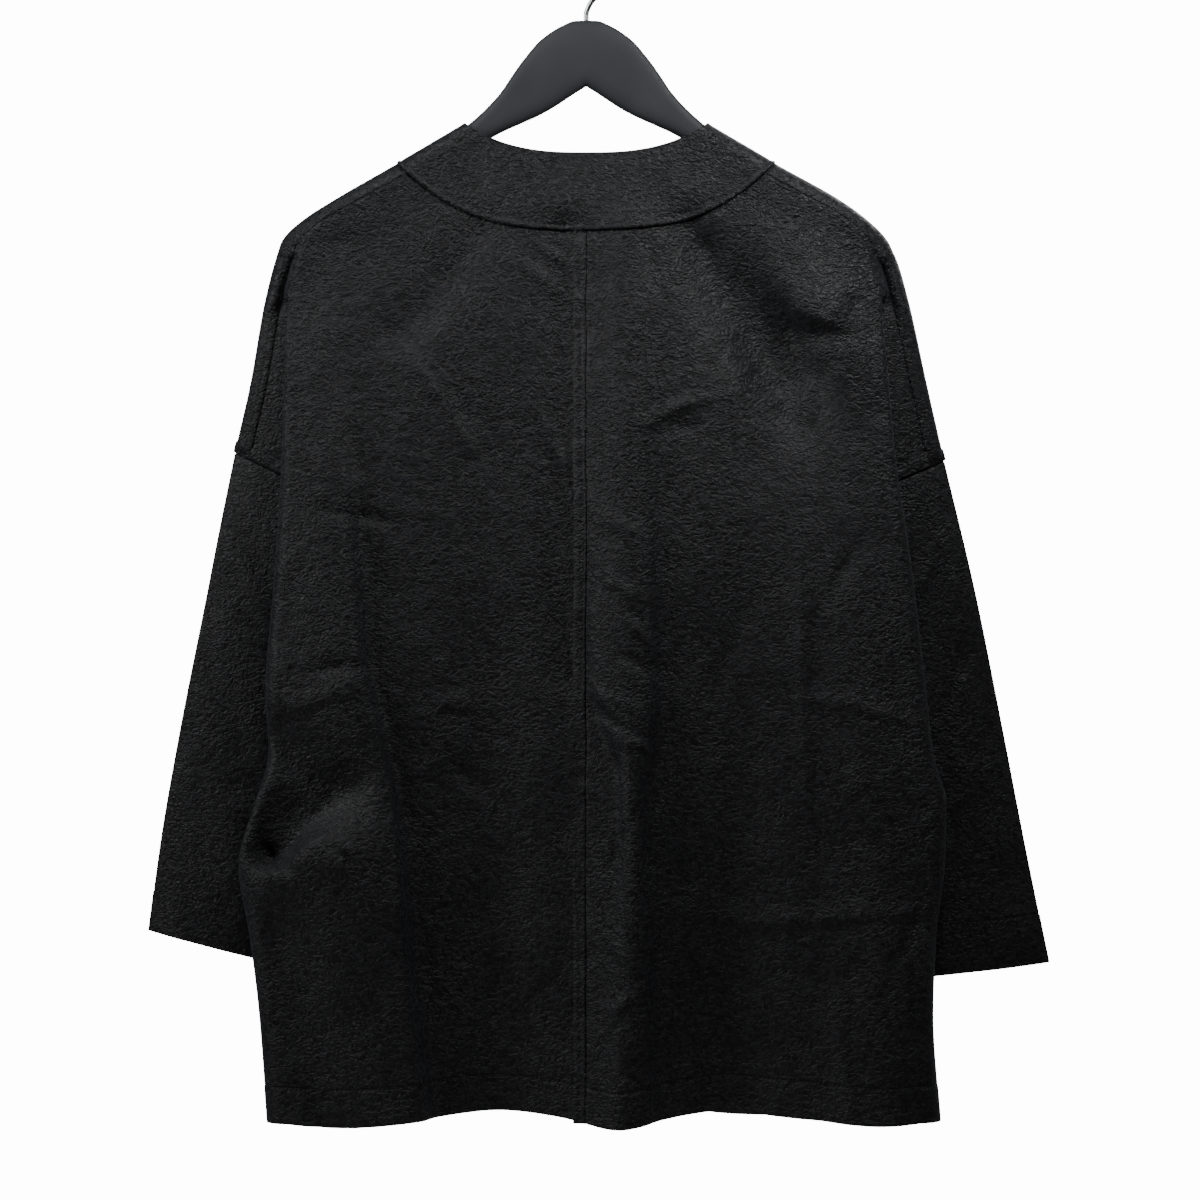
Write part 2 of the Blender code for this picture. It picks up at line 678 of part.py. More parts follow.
def add_front(collection):
    """The front in one piece, with the strips that turn over the shoulders."""
    left = half_panel(LEFT, FRONT)
    right = half_panel(RIGHT, FRONT)
    mesh = bmesh.new()
    rows = [row_left[:0:-1] + row_right for row_left, row_right in zip(left, right)]
    verts = add_grid(mesh, [row[::-1] for row in rows])
    verts = [row[::-1] for row in verts]
    last = sum(1 for level in panel_levels(FRONT) if level <= ARMHOLE_LEVEL + 1e-6)
    half = len(left[0]) - 1
    for side in (LEFT, RIGHT):
        top = verts[0][half + CORNER_COLUMN:] if side == RIGHT else verts[0][half - CORNER_COLUMN::-1]
        down = [row[-1] if side == RIGHT else row[0] for row in verts[1:last]]
        edge = top + down
        for strip in shoulder_strip(side):
            new = [mesh.verts.new(point) for point in strip]
            for a, b, c, d in zip(edge, edge[1:], new[1:], new):
                mesh.faces.new((a, b, c, d) if side == RIGHT else (a, d, c, b))
            edge = new
    bmesh.ops.recalc_face_normals(mesh, faces=mesh.faces)
    add_wall(add_object("front", mesh, collection, "cloth"), CLOTH)


def band_columns(facing):
    """Shares of the neck band's length, from its centre to the shoulder line."""
    shares = list(top_widths(facing)[: CORNER_COLUMN + 1] / BAND_WIDTH_AT_SHOULDER)
    if facing == BACK:
        shares += BAND_END_SHARES
    return shares + [BAND_SEAM]


def band_point(side, facing, share, across):
    """A point of the neck band, which rounds over the shoulder line at its ends."""
    width, drop = band_edge(facing, min(share, 1.0), across)
    depth = SEAM_GAP / 2.0
    if share < BAND_SEAM:
        depth = max(face_point(side, facing, width, drop)[1] + BAND_PROUD, BAND_FLAT_TOP)
    return place_point(side, facing, (width, depth, drop))


def add_bands(collection):
    """The neck band, a back and a front piece that meet on the shoulder line."""
    for facing, name in ((BACK, "band_back"), (FRONT, "band_front")):
        shares = band_columns(facing)
        columns = [(LEFT, share) for share in shares[:0:-1]] + [(RIGHT, share) for share in shares]
        rows = []
        for k in range(BAND_ROWS + 1):
            rows.append([band_point(side, facing, share, k / BAND_ROWS) for side, share in columns])
        mesh = bmesh.new()
        add_grid(mesh, rows if facing == BACK else [row[::-1] for row in rows])
        add_wall(add_object(name, mesh, collection, "cloth"), BAND_CLOTH)


def add_sleeves(collection):
    """The two sleeves, tubes that hang from the armholes to the cuffs."""
    for side, name in ((LEFT, "sleeve_left"), (RIGHT, "sleeve_right")):
        top = np.array([UNDERARM_WIDTH + 3.0, UNDERARM_DROP + 1.5])
        foot = np.array([CUFF_INNER_WIDTH[side], CUFF_INNER_DROP[side]])
        rows = []
        for k in range(SLEEVE_ROWS + 1):
            along = k / SLEEVE_ROWS
            place = ARMHOLE_ROW + (CUFF_ROW - ARMHOLE_ROW) * along
            outer = shoulder_point(side, place) + np.array([0.0, 2.0 * SEAM_GAP]) * (1.0 - along)
            inner = top + (foot - top) * along
            row = []
            for j in range(2 * SLEEVE_SIDE_COLUMNS):
                turn = math.pi * j / SLEEVE_SIDE_COLUMNS
                share = (1.0 - math.cos(turn)) / 2.0
                width, drop = outer + (inner - outer) * share
                depth = sleeve_height(share, along)
                if LEAST_SHARE < share < 1.0 - LEAST_SHARE:
                    depth = max(depth, LAYER_GAP)
                facing = BACK if turn < math.pi else FRONT
                row.append(place_point(side, facing, (width, depth, drop)))
            rows.append(row)
        mesh = bmesh.new()
        verts = [[mesh.verts.new(point) for point in row] for row in rows]
        for upper, lower in zip(verts, verts[1:]):
            ring = zip(upper, upper[1:] + upper[:1], lower[1:] + lower[:1], lower)
            for a, b, c, d in ring:
                mesh.faces.new((a, b, c, d) if side == LEFT else (a, d, c, b))
        add_wall(add_object(name, mesh, collection, "cloth"), CLOTH)


def hanger_section(width):
    """A ring of the hanger's cross section at one width, with flat sides and round edges."""
    upper, lower, half, roundness = hanger_at(width)
    points = []
    for k in range(HANGER_SIDES):
        angle = 2.0 * math.pi * (k + 0.5) / HANGER_SIDES
        across = math.copysign(abs(math.sin(angle)) ** roundness, math.sin(angle))
        upright = math.copysign(abs(math.cos(angle)) ** roundness, math.cos(angle))
        points.append((across * half, (upper + lower) / 2.0 - upright * (lower - upper) / 2.0))
    return points


def add_hanger(collection, cutters):
    """The moulded hanger, lofted through its sections, with the bore for the hook."""
    widths = [-width for width in reversed(column(HANGER_SHAPE, 0)[1:])] + column(HANGER_SHAPE, 0)
    mesh = bmesh.new()
    rings = []
    for x in widths:
        section = hanger_section(abs(x))
        rings.append([mesh.verts.new((x * MM, y * MM, -(HANGER_TOP + drop) * MM)) for y, drop in section])
    for ring, following in zip(rings, rings[1:]):
        for k in range(HANGER_SIDES):
            j = (k + 1) % HANGER_SIDES
            mesh.faces.new((ring[k], ring[j], following[j], following[k]))
    mesh.faces.new(rings[0][::-1])
    mesh.faces.new(rings[-1])
    bmesh.ops.recalc_face_normals(mesh, faces=mesh.faces)
    hanger = add_object("hanger", mesh, collection, "hanger")
    bore = bmesh.new()
    depth = 2.0 * (STEM_IN_HANGER + BORE_CLEARANCE) * MM
    radius = (WIRE_RADIUS + BORE_CLEARANCE) * MM
    bmesh.ops.create_cone(bore, cap_ends=True, segments=16, radius1=radius, radius2=radius, depth=depth)
    cutter = add_object("hook_bore", bore, cutters, "hanger")
    cutter.location = (0.0, 0.0, -HANGER_TOP * MM)
    cutter.hide_render = True
    cutter.display_type = "WIRE"
    cut = hanger.modifiers.new("hook bore", "BOOLEAN")
    cut.operation = "DIFFERENCE"
    cut.solver = "EXACT"
    cut.object = cutter


def hook_route():
    """The hook's middle line: up out of the hanger, out to one side and over the rod."""
    centre = WIRE_RADIUS - HOOK_RADIUS
    route = [(0.0, -HANGER_TOP - STEM_IN_HANGER), (0.0, -HANGER_TOP - 8.0), (0.0, -HANGER_TOP + 4.0)]
    route += [(2.2, -47.0), (8.4, -39.5)]
    for degrees in range(-38, 206, 18):
        angle = math.radians(degrees)
        route.append((HOOK_RADIUS * math.cos(angle), centre + HOOK_RADIUS * math.sin(angle)))
    return spline(route, np.linspace(0.0, 1.0, HOOK_POINTS))


def add_hook(collection):
    """The wire hook."""
    curve = bpy.data.curves.new("hook", "CURVE")
    curve.dimensions = "3D"
    line = curve.splines.new("POLY")
    route = hook_route()
    line.points.add(len(route) - 1)
    for point, (x, z) in zip(line.points, route):
        point.co = (x * MM, 0.0, z * MM, 1.0)
    curve.bevel_depth = WIRE_RADIUS * MM
    curve.bevel_resolution = 2
    curve.use_fill_caps = True
    hook = bpy.data.objects.new("hook", curve)
    curve.materials.append(material("hook", "steel"))
    collection.objects.link(hook)


def main():
    """Builds the tunic and its hanger."""
    for old in list(bpy.data.objects):
        bpy.data.objects.remove(old, do_unlink=True)
    collection = bpy.data.collections.new(COLLECTION)
    cutters = bpy.data.collections.new("cutters")
    for new in (collection, cutters):
        bpy.context.scene.collection.children.link(new)
    add_back(collection)
    add_front(collection)
    add_bands(collection)
    add_sleeves(collection)
    add_hanger(collection, cutters)
    add_hook(collection)


main()
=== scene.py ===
"""The looks of a tunic that hangs from a coat hanger with its back towards -Y.

Sizes are in millimetres and are turned into metres where points are placed.
A point of the cloth is given by its width (its distance from the centre line),
its stand-off (how far it stands out of the hanger's plane) and its drop
(how far it lies below the hanger's top).
"""

import math

import bpy
import numpy as np
from mathutils.bvhtree import BVHTree
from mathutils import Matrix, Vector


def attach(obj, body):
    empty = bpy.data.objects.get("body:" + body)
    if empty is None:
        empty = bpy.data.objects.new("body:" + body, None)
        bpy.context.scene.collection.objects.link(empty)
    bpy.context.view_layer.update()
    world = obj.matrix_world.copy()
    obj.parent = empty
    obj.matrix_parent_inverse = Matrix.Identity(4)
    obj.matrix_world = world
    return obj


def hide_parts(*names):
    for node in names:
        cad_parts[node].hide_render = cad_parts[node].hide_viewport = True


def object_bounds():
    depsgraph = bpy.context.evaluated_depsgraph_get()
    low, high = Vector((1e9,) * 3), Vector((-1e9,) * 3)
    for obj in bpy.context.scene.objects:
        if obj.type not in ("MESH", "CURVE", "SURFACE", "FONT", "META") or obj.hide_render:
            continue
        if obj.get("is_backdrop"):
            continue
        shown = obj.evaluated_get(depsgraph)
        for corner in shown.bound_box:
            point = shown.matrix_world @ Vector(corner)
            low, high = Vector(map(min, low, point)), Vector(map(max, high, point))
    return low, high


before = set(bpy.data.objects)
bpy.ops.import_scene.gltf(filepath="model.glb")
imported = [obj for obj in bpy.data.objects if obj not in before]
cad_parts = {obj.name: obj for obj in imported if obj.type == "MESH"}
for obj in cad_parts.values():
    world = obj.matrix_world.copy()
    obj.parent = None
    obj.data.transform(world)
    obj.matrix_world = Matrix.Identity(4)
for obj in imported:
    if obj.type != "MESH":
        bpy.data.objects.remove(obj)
cad_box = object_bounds()

MM = 0.001
LEFT, RIGHT = -1, 1
BACK, FRONT = -1, 1

# Thickness of the cloth and of the neck band, a little less than in the solids
CLOTH, BAND_CLOTH = 0.8, 1.5

# Sizes of the garment, its edges and its seams
SEAM_GAP, LAYER_GAP = 0.3, 0.9
HANGER_TOP = 58.0
NECK_WIDTH, NECK_CORNER_DROP = 88.0, 75.0
BAND_WIDTH_AT_SHOULDER, BAND_DROP_AT_SHOULDER = 135.5, 103.0
BACK_NECK_DROP, BACK_BAND_DROP = 96.5, 151.5
FRONT_NECK_DROP, FRONT_BAND_DROP = 186.0, 242.0
SHOULDER_SEAM_BEHIND_RIDGE = 12.0
EDGE_START = 188.0
HEM_DROP = 788.0
UNDERARM_WIDTH, UNDERARM_DROP = 98.0, 385.0
SIDE_SEAM_WIDTH = 86.0
HEM_FOLLOWS_FOLD = 0.4
SLEEVE_DEPTH, CUFF_DEPTH = 14.0, 16.0
FLAT_UNDERARM_LENGTH = 0.3
VALLEY_RADIUS = 2.4
LEAST_EDGE_RADIUS = 1.8
RETURN_POWER = 0.5
RETURN_END_AT_ARM, RETURN_END_BELOW = 12.0, 22.0
SLEEVE_MIDDLE = 186.0
STEEP_TURN = 0.75
CLOTH_OVER_HANGER, CLEAR_OF_HANGER = 2.7, 2.6
SHOULDER_ROUND_WIDTH = 184.0
WIRE_RADIUS, HOOK_RADIUS, STEM_IN_HANGER = 1.9, 21.5, 20.0
BAND_PROUD, BELOW_BAND = 0.5, 0.7
BAND_WIDTH = 56.0
SLEEVE_LENGTH = 345.0
BACK_SEAM_START = 127.5
PAST_TIP = 0.6
CURVE_FADES = 0.013
ARMHOLE_LEVEL, UNDERARM_LEVEL = 0.2706, 0.3838
FIRST_LEVELS = {BACK: (0.0, 0.014, 0.029, 0.045), FRONT: (0.0, 0.003, 0.009, 0.019)}
ARMHOLE_SHARES = (0.18, 0.36, 0.54, 0.7, 0.83, 0.93, 1.0)
ARMHOLE_EASE = 1.3
UPPER_ROWS, LOWER_ROWS = 7, 10
FACE_COLUMNS, CORNER_COLUMN = 11, 8
TURN_COLUMNS, RETURN_COLUMNS, BEHIND_COLUMNS = 4, 4, 14
OUTER_SHARES = (0.0, 0.3, 0.62, 0.86, 1.0)
BELOW_ARM_SHARES = (0.0, 0.25, 0.47, 0.66, 0.81, 0.92, 1.0)

# How finely the cloth is divided, in steps for each step of the solids
FACE_STEPS = 10
LEVEL_STEPS = {BACK: (6, 10, 4, 16), FRONT: (4, 6, 3, 5)}
TURN_STEPS, RETURN_STEPS, OUTER_STEPS = 3, 4, 4
STRIP_STEPS = 10

SLEEVE_COLUMNS = 140

# How far each sleeve's outer edge turns towards the viewer of the back
SLEEVE_TURN = {LEFT: 10.0, RIGHT: 0.0}

# Where the hems are sewn, and the finer rows beside them
HEM_LEVEL, CUFF_HEM = 0.96, 38.0
HEM_STEPS = (-0.0035, -0.0022, -0.0012, -0.0005, 0.0, 0.0005, 0.0012, 0.0022, 0.0035)
HEM_CLEARANCE = 0.0045
CUFF_HEM_STEPS = (-2.6, -1.7, -1.0, -0.5, 0.0, 0.5, 1.0, 1.7, 2.6)
CUFF_HEM_CLEARANCE = 3.2

# How the seams are turned in
SEAM_ROLL = [
    # width, how far it lies inside the face
    (9.0, 1.75),
    (5.0, 1.7),
    (1.6, 1.45),
    (0.7, 1.15),
    (0.385, 0.6),
    (0.55, 0.22),
    (1.1, 0.05),
]
TUCK = [
    # distance past the edge, how far it lies inside the face
    (0.8, 0.45),
    (1.8, 1.05),
    (5.0, 1.2),
]
WELT = [
    # distance from the armhole, towards the body, and how far it stands out
    (-0.9, 0.35),
    (-0.7, 0.95),
    (0.4, 1.2),
    (2.6, 1.15),
    (5.0, 1.1),
    (5.5, 0.8),
    (6.0, 1.05),
    (6.7, 0.9),
    (7.2, 0.3),
    (7.5, -0.6),
]
STITCH_PITCH, STITCH_LENGTH, STITCH_WIDTH = 3.2, 2.4, 0.55
BAND_RIDGES = [
    # height, place across the band from its neck edge, width
    (0.85, 0.992, 1.3),
    (-0.3, 0.955, 0.9),
    (0.25, 0.0, 1.5),
]
NECK_STITCHES = [
    # x, drop
    (-1.2, 153.5),
    (-8.6, 153.5),
    (-8.6, 186.0),
    (-1.2, 186.0),
]

# The cuts, worked out from the lengths of the garment's edges and sections, the same on both sides
HALF_PANEL_CUT = {
    # height above the hem, width from the centre
    BACK: [(0.0, 426.0), (202.0, 443.0), (404.0, 380.0), (565.0, 449.0), (690.0, BAND_WIDTH_AT_SHOULDER)],
    FRONT: [(0.0, 427.0), (202.0, 447.0), (404.0, 399.0), (570.0, 480.0), (699.0, BAND_WIDTH_AT_SHOULDER)],
}
NECK_RISE = {BACK: 50.0, FRONT: 152.0}

SHOULDER_LINE = [
    # left width, right width, left drop, right drop
    (88.0, 88.0, 75.0, 75.0),
    (135.5, 135.5, 103.0, 103.0),
    (184.0, 185.0, 131.0, 131.0),
    (206.0, 204.5, 145.5, 145.5),
    (219.5, 217.5, 159.0, 159.0),
    (225.0, 225.0, 175.0, 175.0),
    (232.5, 233.5, 205.0, 205.0),
    (242.5, 246.0, 262.0, 262.0),
    (253.5, 258.5, 311.0, 317.0),
    (272.0, 281.0, 409.0, 412.0),
    (292.0, 301.0, 510.0, 512.0),
    (306.0, 318.0, 590.0, 600.0),
    (315.0, 334.5, 657.0, 681.0),
]
TIP_ROW, ARMHOLE_ROW, CUFF_ROW = 4, 8, 12
CUFF_INNER_WIDTH = {LEFT: 157.0, RIGHT: 171.0}
CUFF_INNER_DROP = {LEFT: 697.0, RIGHT: 698.0}

BODY_EDGE = [
    # drop, left width, right width
    (134.0, 188.0, 188.0),
    (150.0, 194.0, 193.0),
    (170.0, 203.0, 201.0),
    (187.0, 209.0, 207.0),
    (206.0, 213.0, 211.0),
    (230.0, 215.5, 214.0),
    (314.0, 217.7, 221.5),
    (405.0, 223.0, 234.0),
    (488.0, 229.0, 243.5),
    (528.0, 227.0, 248.0),
    (566.0, 237.0, 257.5),
    (609.0, 248.0, 256.0),
    (658.0, 240.0, 250.0),
    (713.0, 233.0, 247.6),
    (788.0, 227.0, 252.5),
]

VALLEY = [
    # drop, width, stand-off, return depth, sleeve depth, how far the fold is open
    (134.0, 206.0, 11.0, 12.0, 9.0, 0.0),
    (172.0, 208.0, 11.0, 13.0, 9.0, 0.0),
    (200.0, 203.0, 11.0, 13.2, 9.0, 0.0),
    (216.0, 198.0, 11.0, 13.6, 9.0, 0.85),
    (232.0, 184.0, 11.0, 14.5, 9.5, 1.0),
    (245.0, 176.0, 10.5, 15.5, 10.5, 1.0),
    (275.0, 156.0, 9.5, 18.5, 12.0, 1.0),
    (311.0, 134.0, 8.0, 20.0, 13.5, 1.0),
    (350.0, 117.0, 8.0, 20.5, 14.0, 1.0),
    (385.0, 106.5, 8.6, 21.0, 14.0, 1.0),
    (788.0, 90.0, 0.9, 21.0, 14.0, 1.0),
]

FACE_STAND_OFF = [
    # drop, back, front
    (90.0, 10.0, 10.0),
    (150.0, 15.0, 15.5),
    (230.0, 22.0, 23.0),
    (314.0, 29.0, 29.0),
    (405.0, 36.0, 35.0),
    (550.0, 42.0, 42.0),
    (680.0, 46.0, 46.0),
    (788.0, 48.0, 48.0),
]

FOLDS = {
    # x and drop at its top, x and drop at its foot, half widths, stand-outs
    BACK: [
        (-198, 240, -174, 830, 30, 46, 1, 15),
        (-72, 300, -62, 830, 30, 42, -2, -13),
        (30, 150, 20, 830, 17, 28, 4, 16),
        (-16, 150, -18, 470, 12, 14, -5, -3),
        (112, 420, 98, 830, 28, 36, -3, -12),
        (196, 420, 210, 830, 24, 38, 2, 12),
        (75, 152, 147, 275, 15, 22, -7, -10),
        (150, 150, 192, 240, 22, 26, 2, 3),
        (-76, 155, -134, 225, 14, 18, -3, -4),
        (-222, 520, -168, 560, 20, 22, -9, -8),
        (-236, 590, -178, 602, 16, 18, 6, 5),
    ],
    FRONT: [
        (-196, 260, -186, 830, 28, 40, 1, 13),
        (-110, 320, -116, 830, 28, 38, -2, -12),
        (-46, 270, -38, 830, 22, 34, 2, 14),
        (34, 300, 42, 830, 22, 32, -2, -11),
        (112, 260, 118, 830, 24, 36, 2, 14),
        (200, 400, 206, 830, 24, 34, 1, 8),
        (-84, 190, -142, 290, 16, 22, -4, -7),
        (84, 190, 140, 285, 16, 22, -4, -6),
    ],
}

CREASES = {
    # each line runs through points: x, drop, widths left and right of its course, stand-out
    BACK: [
        # the long crease down the left, steep on its right
        [(-190, 196, 20, 10, 0), (-177, 304, 36, 8, 6), (-166, 419, 38, 6, 8.5), (-161, 470, 36, 5, 9.5),
         (-150, 512, 34, 5, 9), (-141, 558, 38, 5, 11), (-135, 600, 42, 6, 13), (-131, 664, 42, 6, 14),
         (-117, 790, 42, 7, 14)],
        [(-184, 355, 5, 5, -1.6), (-146, 362, 4, 4, -2.9), (-138, 368, 4, 4, -0.6)],
        [(-160, 376, 8, 15, -1), (-148, 405, 8, 15, -2), (-138, 430, 8, 14, -1)],
        # the dent at the left of the waist, deepest over the roll below it
        [(-240, 591, 5, 20, -8), (-232, 599, 5, 30, -17), (-223, 603, 5, 34, -22), (-213, 597, 6, 34, -20),
         (-203, 582, 8, 32, -16), (-188, 569, 12, 26, -9), (-168, 548, 14, 20, -5), (-148, 528, 12, 14, -1)],
        [(-240, 613, 24, 6, 2), (-226, 615, 30, 6, 5), (-210, 607, 36, 7, 5), (-190, 592, 46, 10, 4),
         (-166, 582, 40, 12, 1.5)],
        [(-222, 500, 7, 8, 0.5), (-192, 490, 7, 8, 2.4), (-168, 482, 6, 8, 1.4)],
        [(-200, 470, 5, 6, -0.6), (-180, 468, 5, 6, -2.6), (-164, 466, 5, 6, -1)],
        [(-181, 593, 2.6, 3, -0.6), (-172, 600, 2.6, 3, -2.1), (-163, 611, 2.6, 3, -0.6)],
        [(-224, 640, 12, 14, -1.5), (-210, 684, 14, 26, -5), (-196, 730, 14, 34, -8),
         (-182, 800, 14, 34, -10)],
        # the valley and the ridge beside the centre seam
        [(-12, 190, 26, 10, -1), (-10, 330, 28, 9, -4), (-4, 440, 28, 7, -5), (0, 480, 28, 6, -5.5),
         (8, 505, 30, 5, -6.5), (20, 537, 34, 5, -7.5), (22, 590, 34, 6, -7), (16, 660, 32, 8, -5),
         (8, 790, 30, 9, -4)],
        [(36, 220, 24, 12, 0.5), (42, 330, 22, 9, 3), (44, 420, 20, 7, 5), (44, 500, 16, 7, 6),
         (35, 556, 12, 8, 6), (36, 620, 14, 8, 6), (40, 700, 16, 8, 6), (40, 800, 18, 9, 6)],
        # the hollow under the right shoulder, whose upper rim is sharp
        [(78, 156, 30, 16, -3), (104, 188, 38, 18, -8), (130, 216, 42, 16, -12), (148, 236, 40, 12, -15),
         (157, 258, 38, 16, -14), (156, 290, 42, 26, -10), (154, 340, 46, 34, -5), (154, 410, 44, 36, -0.5)],
        [(142, 264, 22, 22, 1.5), (149, 276, 24, 24, 4.5), (152, 288, 26, 26, 3)],
        [(104, 152, 18, 8, -0.5), (122, 172, 18, 7, -2.5), (134, 202, 16, 5, -4.5), (148, 220, 14, 3.6, -5.5),
         (162, 227, 12, 3.2, -5), (177, 228, 6, 3, -1)],
        [(126, 150, 8, 30, 1), (146, 190, 8, 34, 4.5), (158, 211, 7, 36, 6.5), (172, 218, 6, 30, 5.5),
         (190, 222, 8, 20, 1)],
        [(-78, 162, 12, 14, -1), (-96, 190, 16, 16, -3), (-118, 226, 14, 14, -1.5)],
        # pressed lines across the right half
        [(140, 490, 4, 8, 0.4), (190, 494, 4, 8, 1.9), (236, 508, 4, 8, 1.4)],
        [(60, 640, 4, 8, 0.5), (120, 650, 4, 9, 1.9), (176, 646, 4, 9, 2.1), (250, 640, 4, 8, 1.2)],
        [(150, 340, 6, 5, 0.4), (155, 430, 6, 4, 1.7), (156, 520, 6, 4, 1.5), (160, 600, 6, 5, 0)],
        [(176, 664, 8, 5, 0.3), (182, 720, 9, 5, 1.6), (186, 796, 9, 6, 1.8)],
        # short soft creases
        [(-128, 240, 5, 4, 0.6), (-108, 268, 5, 3.5, 3.2), (-86, 306, 5, 4, 1.3)],
        [(-98, 258, 4, 5, -1), (-84, 286, 4, 5, -2.2), (-78, 302, 4, 5, -0.6)],
        [(48, 290, 3.5, 5, 1.3), (68, 280, 3.5, 5, 3), (88, 275, 3.5, 5, 1)],
        [(54, 300, 4, 4, -0.6), (72, 296, 4, 4, -2.1), (82, 300, 4, 4, -0.5)],
        [(-47, 156, 4, 4, 0.8), (-28, 168, 4, 4, 2.1), (-8, 181, 4, 4, 0.8)],
        [(-54, 170, 4, 4, 0.5), (-34, 186, 4, 4, 1.6), (-16, 200, 4, 4, 0.5)],
        [(-34, 284, 4, 5, 1), (-22, 312, 4, 5, 2.2), (-12, 340, 4, 5, 0.6)],
        [(-62, 300, 5, 6, -0.8), (-48, 344, 5, 6, -2.4), (-40, 380, 5, 6, -0.6)],
        [(118, 420, 5, 8, -0.5), (96, 470, 6, 9, -1.7), (84, 520, 6, 9, -0.5)],
        [(200, 372, 5, 6, -0.6), (184, 398, 5, 6, -2.1), (170, 424, 5, 6, -0.6)],
        [(-100, 520, 5, 5, 0.6), (-84, 546, 5, 5, -2.4), (-66, 560, 5, 5, -0.8)],
        [(-122, 502, 4, 6, 0.8), (-96, 492, 4, 6, 2.1), (-62, 498, 4, 6, 0.6)],
        [(4, 478, 3, 3, 1), (12, 488, 3, 3, 3.2), (24, 492, 3, 3, 1.3)],
        [(6, 494, 3, 3, -1), (16, 504, 3, 3, -2.9), (28, 510, 3, 3, -1)],
        [(14, 508, 3, 3, 1), (26, 520, 3, 3, 3.2), (38, 524, 3, 3, 1.3)],
        [(16, 512, 2.6, 2.6, -1), (22, 518, 2.6, 2.6, -2.9), (32, 524, 2.6, 2.6, -1)],
        [(26, 430, 3, 3.5, 0.8), (38, 442, 3, 3.5, 2.7), (46, 450, 3, 3.5, 0.8)],
        [(20, 452, 3, 3.5, -0.8), (32, 462, 3, 3.5, -2.6), (42, 466, 3, 3.5, -0.8)],
        [(12, 396, 3, 3.5, 0.8), (24, 410, 3, 3.5, 2.6), (36, 416, 3, 3.5, 0.8)],
        [(10, 352, 3, 3.5, 0.8), (20, 364, 3, 3.5, 2.2), (34, 370, 3, 3.5, 0.8)],
        [(30, 580, 4, 4, -0.6), (22, 600, 4, 4, -2.1), (26, 622, 4, 4, -0.6)],
        [(16, 660, 3.5, 4, 0.8), (30, 674, 3.5, 4, 2.9), (42, 690, 3.5, 4, 1)],
        [(40, 694, 4, 3.5, 0.6), (26, 706, 4, 3.5, 2.6), (16, 722, 4, 3.5, 0.8)],
        [(-16, 430, 4, 4, -0.6), (-10, 470, 4, 4, -2.1), (-14, 500, 4, 4, -0.6)],
        [(76, 560, 5, 5, 0.5), (92, 586, 5, 4, 2.1), (98, 620, 5, 5, 0.5)],
        [(-80, 640, 6, 6, 0.3), (-74, 690, 7, 5, 1.3), (-78, 740, 6, 6, 0.3)],
        [(214, 690, 5, 6, -0.6), (226, 664, 5, 6, -2.2), (236, 640, 5, 6, -0.6)],
        [(-196, 152, 9, 9, -0.6), (-184, 160, 9, 9, -1.6), (-176, 174, 8, 9, -0.4)],
    ],
    FRONT: [
        [(-150, 300, 14, 9, 0.5), (-134, 420, 24, 7, 4.5), (-120, 560, 26, 7, 4.5), (-112, 790, 28, 8, 5)],
        [(-214, 512, 12, 14, -2), (-186, 530, 14, 14, -5), (-160, 548, 12, 12, -1)],
        [(214, 520, 12, 12, -2), (190, 544, 14, 12, -4.5), (166, 566, 12, 12, -1)],
        [(150, 330, 8, 12, 0.5), (134, 450, 7, 20, 3.2), (126, 600, 7, 22, 3.5), (120, 790, 8, 24, 4)],
        [(-22, 480, 4, 7, 0.4), (2, 486, 4, 7, 1.5), (26, 494, 4, 7, 0.4)],
        [(-150, 640, 4, 8, 0.5), (-96, 650, 4, 8, 1.7), (-40, 646, 4, 8, 0.5)],
        [(50, 655, 4, 8, 0.4), (104, 648, 4, 8, 1.8), (166, 652, 4, 8, 0.5)],
        [(-96, 290, 5, 4, 0.6), (-82, 316, 5, 4, 2.6), (-66, 350, 5, 4, 0.6)],
        [(92, 300, 4, 5, 0.6), (76, 326, 4, 5, 2.6), (60, 356, 4, 5, 0.6)],
        [(-44, 400, 16, 9, 0.5), (-36, 560, 22, 8, 3.5), (-34, 790, 24, 9, 4)],
        [(40, 520, 8, 10, -0.5), (30, 640, 9, 12, -2.5), (34, 790, 10, 14, -2.5)],
    ],
}

SLEEVE_CREASES = [
    # width and drop at its top, width and drop at its foot, stand-out
    (262.0, 372.0, 232.0, 420.0, 1.2),
    (276.0, 455.0, 246.0, 520.0, -1.3),
    (292.0, 540.0, 262.0, 566.0, 1.2),
    (286.0, 578.0, 258.0, 640.0, -1.0),
    (300.0, 600.0, 292.0, 668.0, 0.9),
]

HANGER_SHAPE = [
    # width, drop of the upper edge, drop of the lower edge, half thickness
    (0.0, 0.0, 47.5, 6.5),
    (8.0, 0.2, 52.5, 6.5),
    (17.0, 3.6, 58.5, 6.5),
    (26.0, 8.8, 64.2, 6.5),
    (35.0, 16.0, 69.0, 6.5),
    (41.0, 23.0, 71.8, 6.5),
    (47.0, 30.5, 74.4, 6.5),
    (54.0, 40.5, 77.5, 6.5),
    (61.6, 51.8, 81.0, 6.5),
    (74.0, 65.3, 88.0, 6.7),
    (88.0, 77.2, 96.5, 7.2),
    (112.0, 92.0, 111.0, 8.4),
    (135.5, 106.0, 126.0, 10.2),
    (160.0, 120.2, 141.5, 12.2),
    (184.0, 134.4, 156.0, 13.6),
    (198.0, 143.8, 163.5, 12.6),
    (206.0, 150.8, 166.0, 9.6),
    (211.0, 156.6, 165.5, 5.5),
]


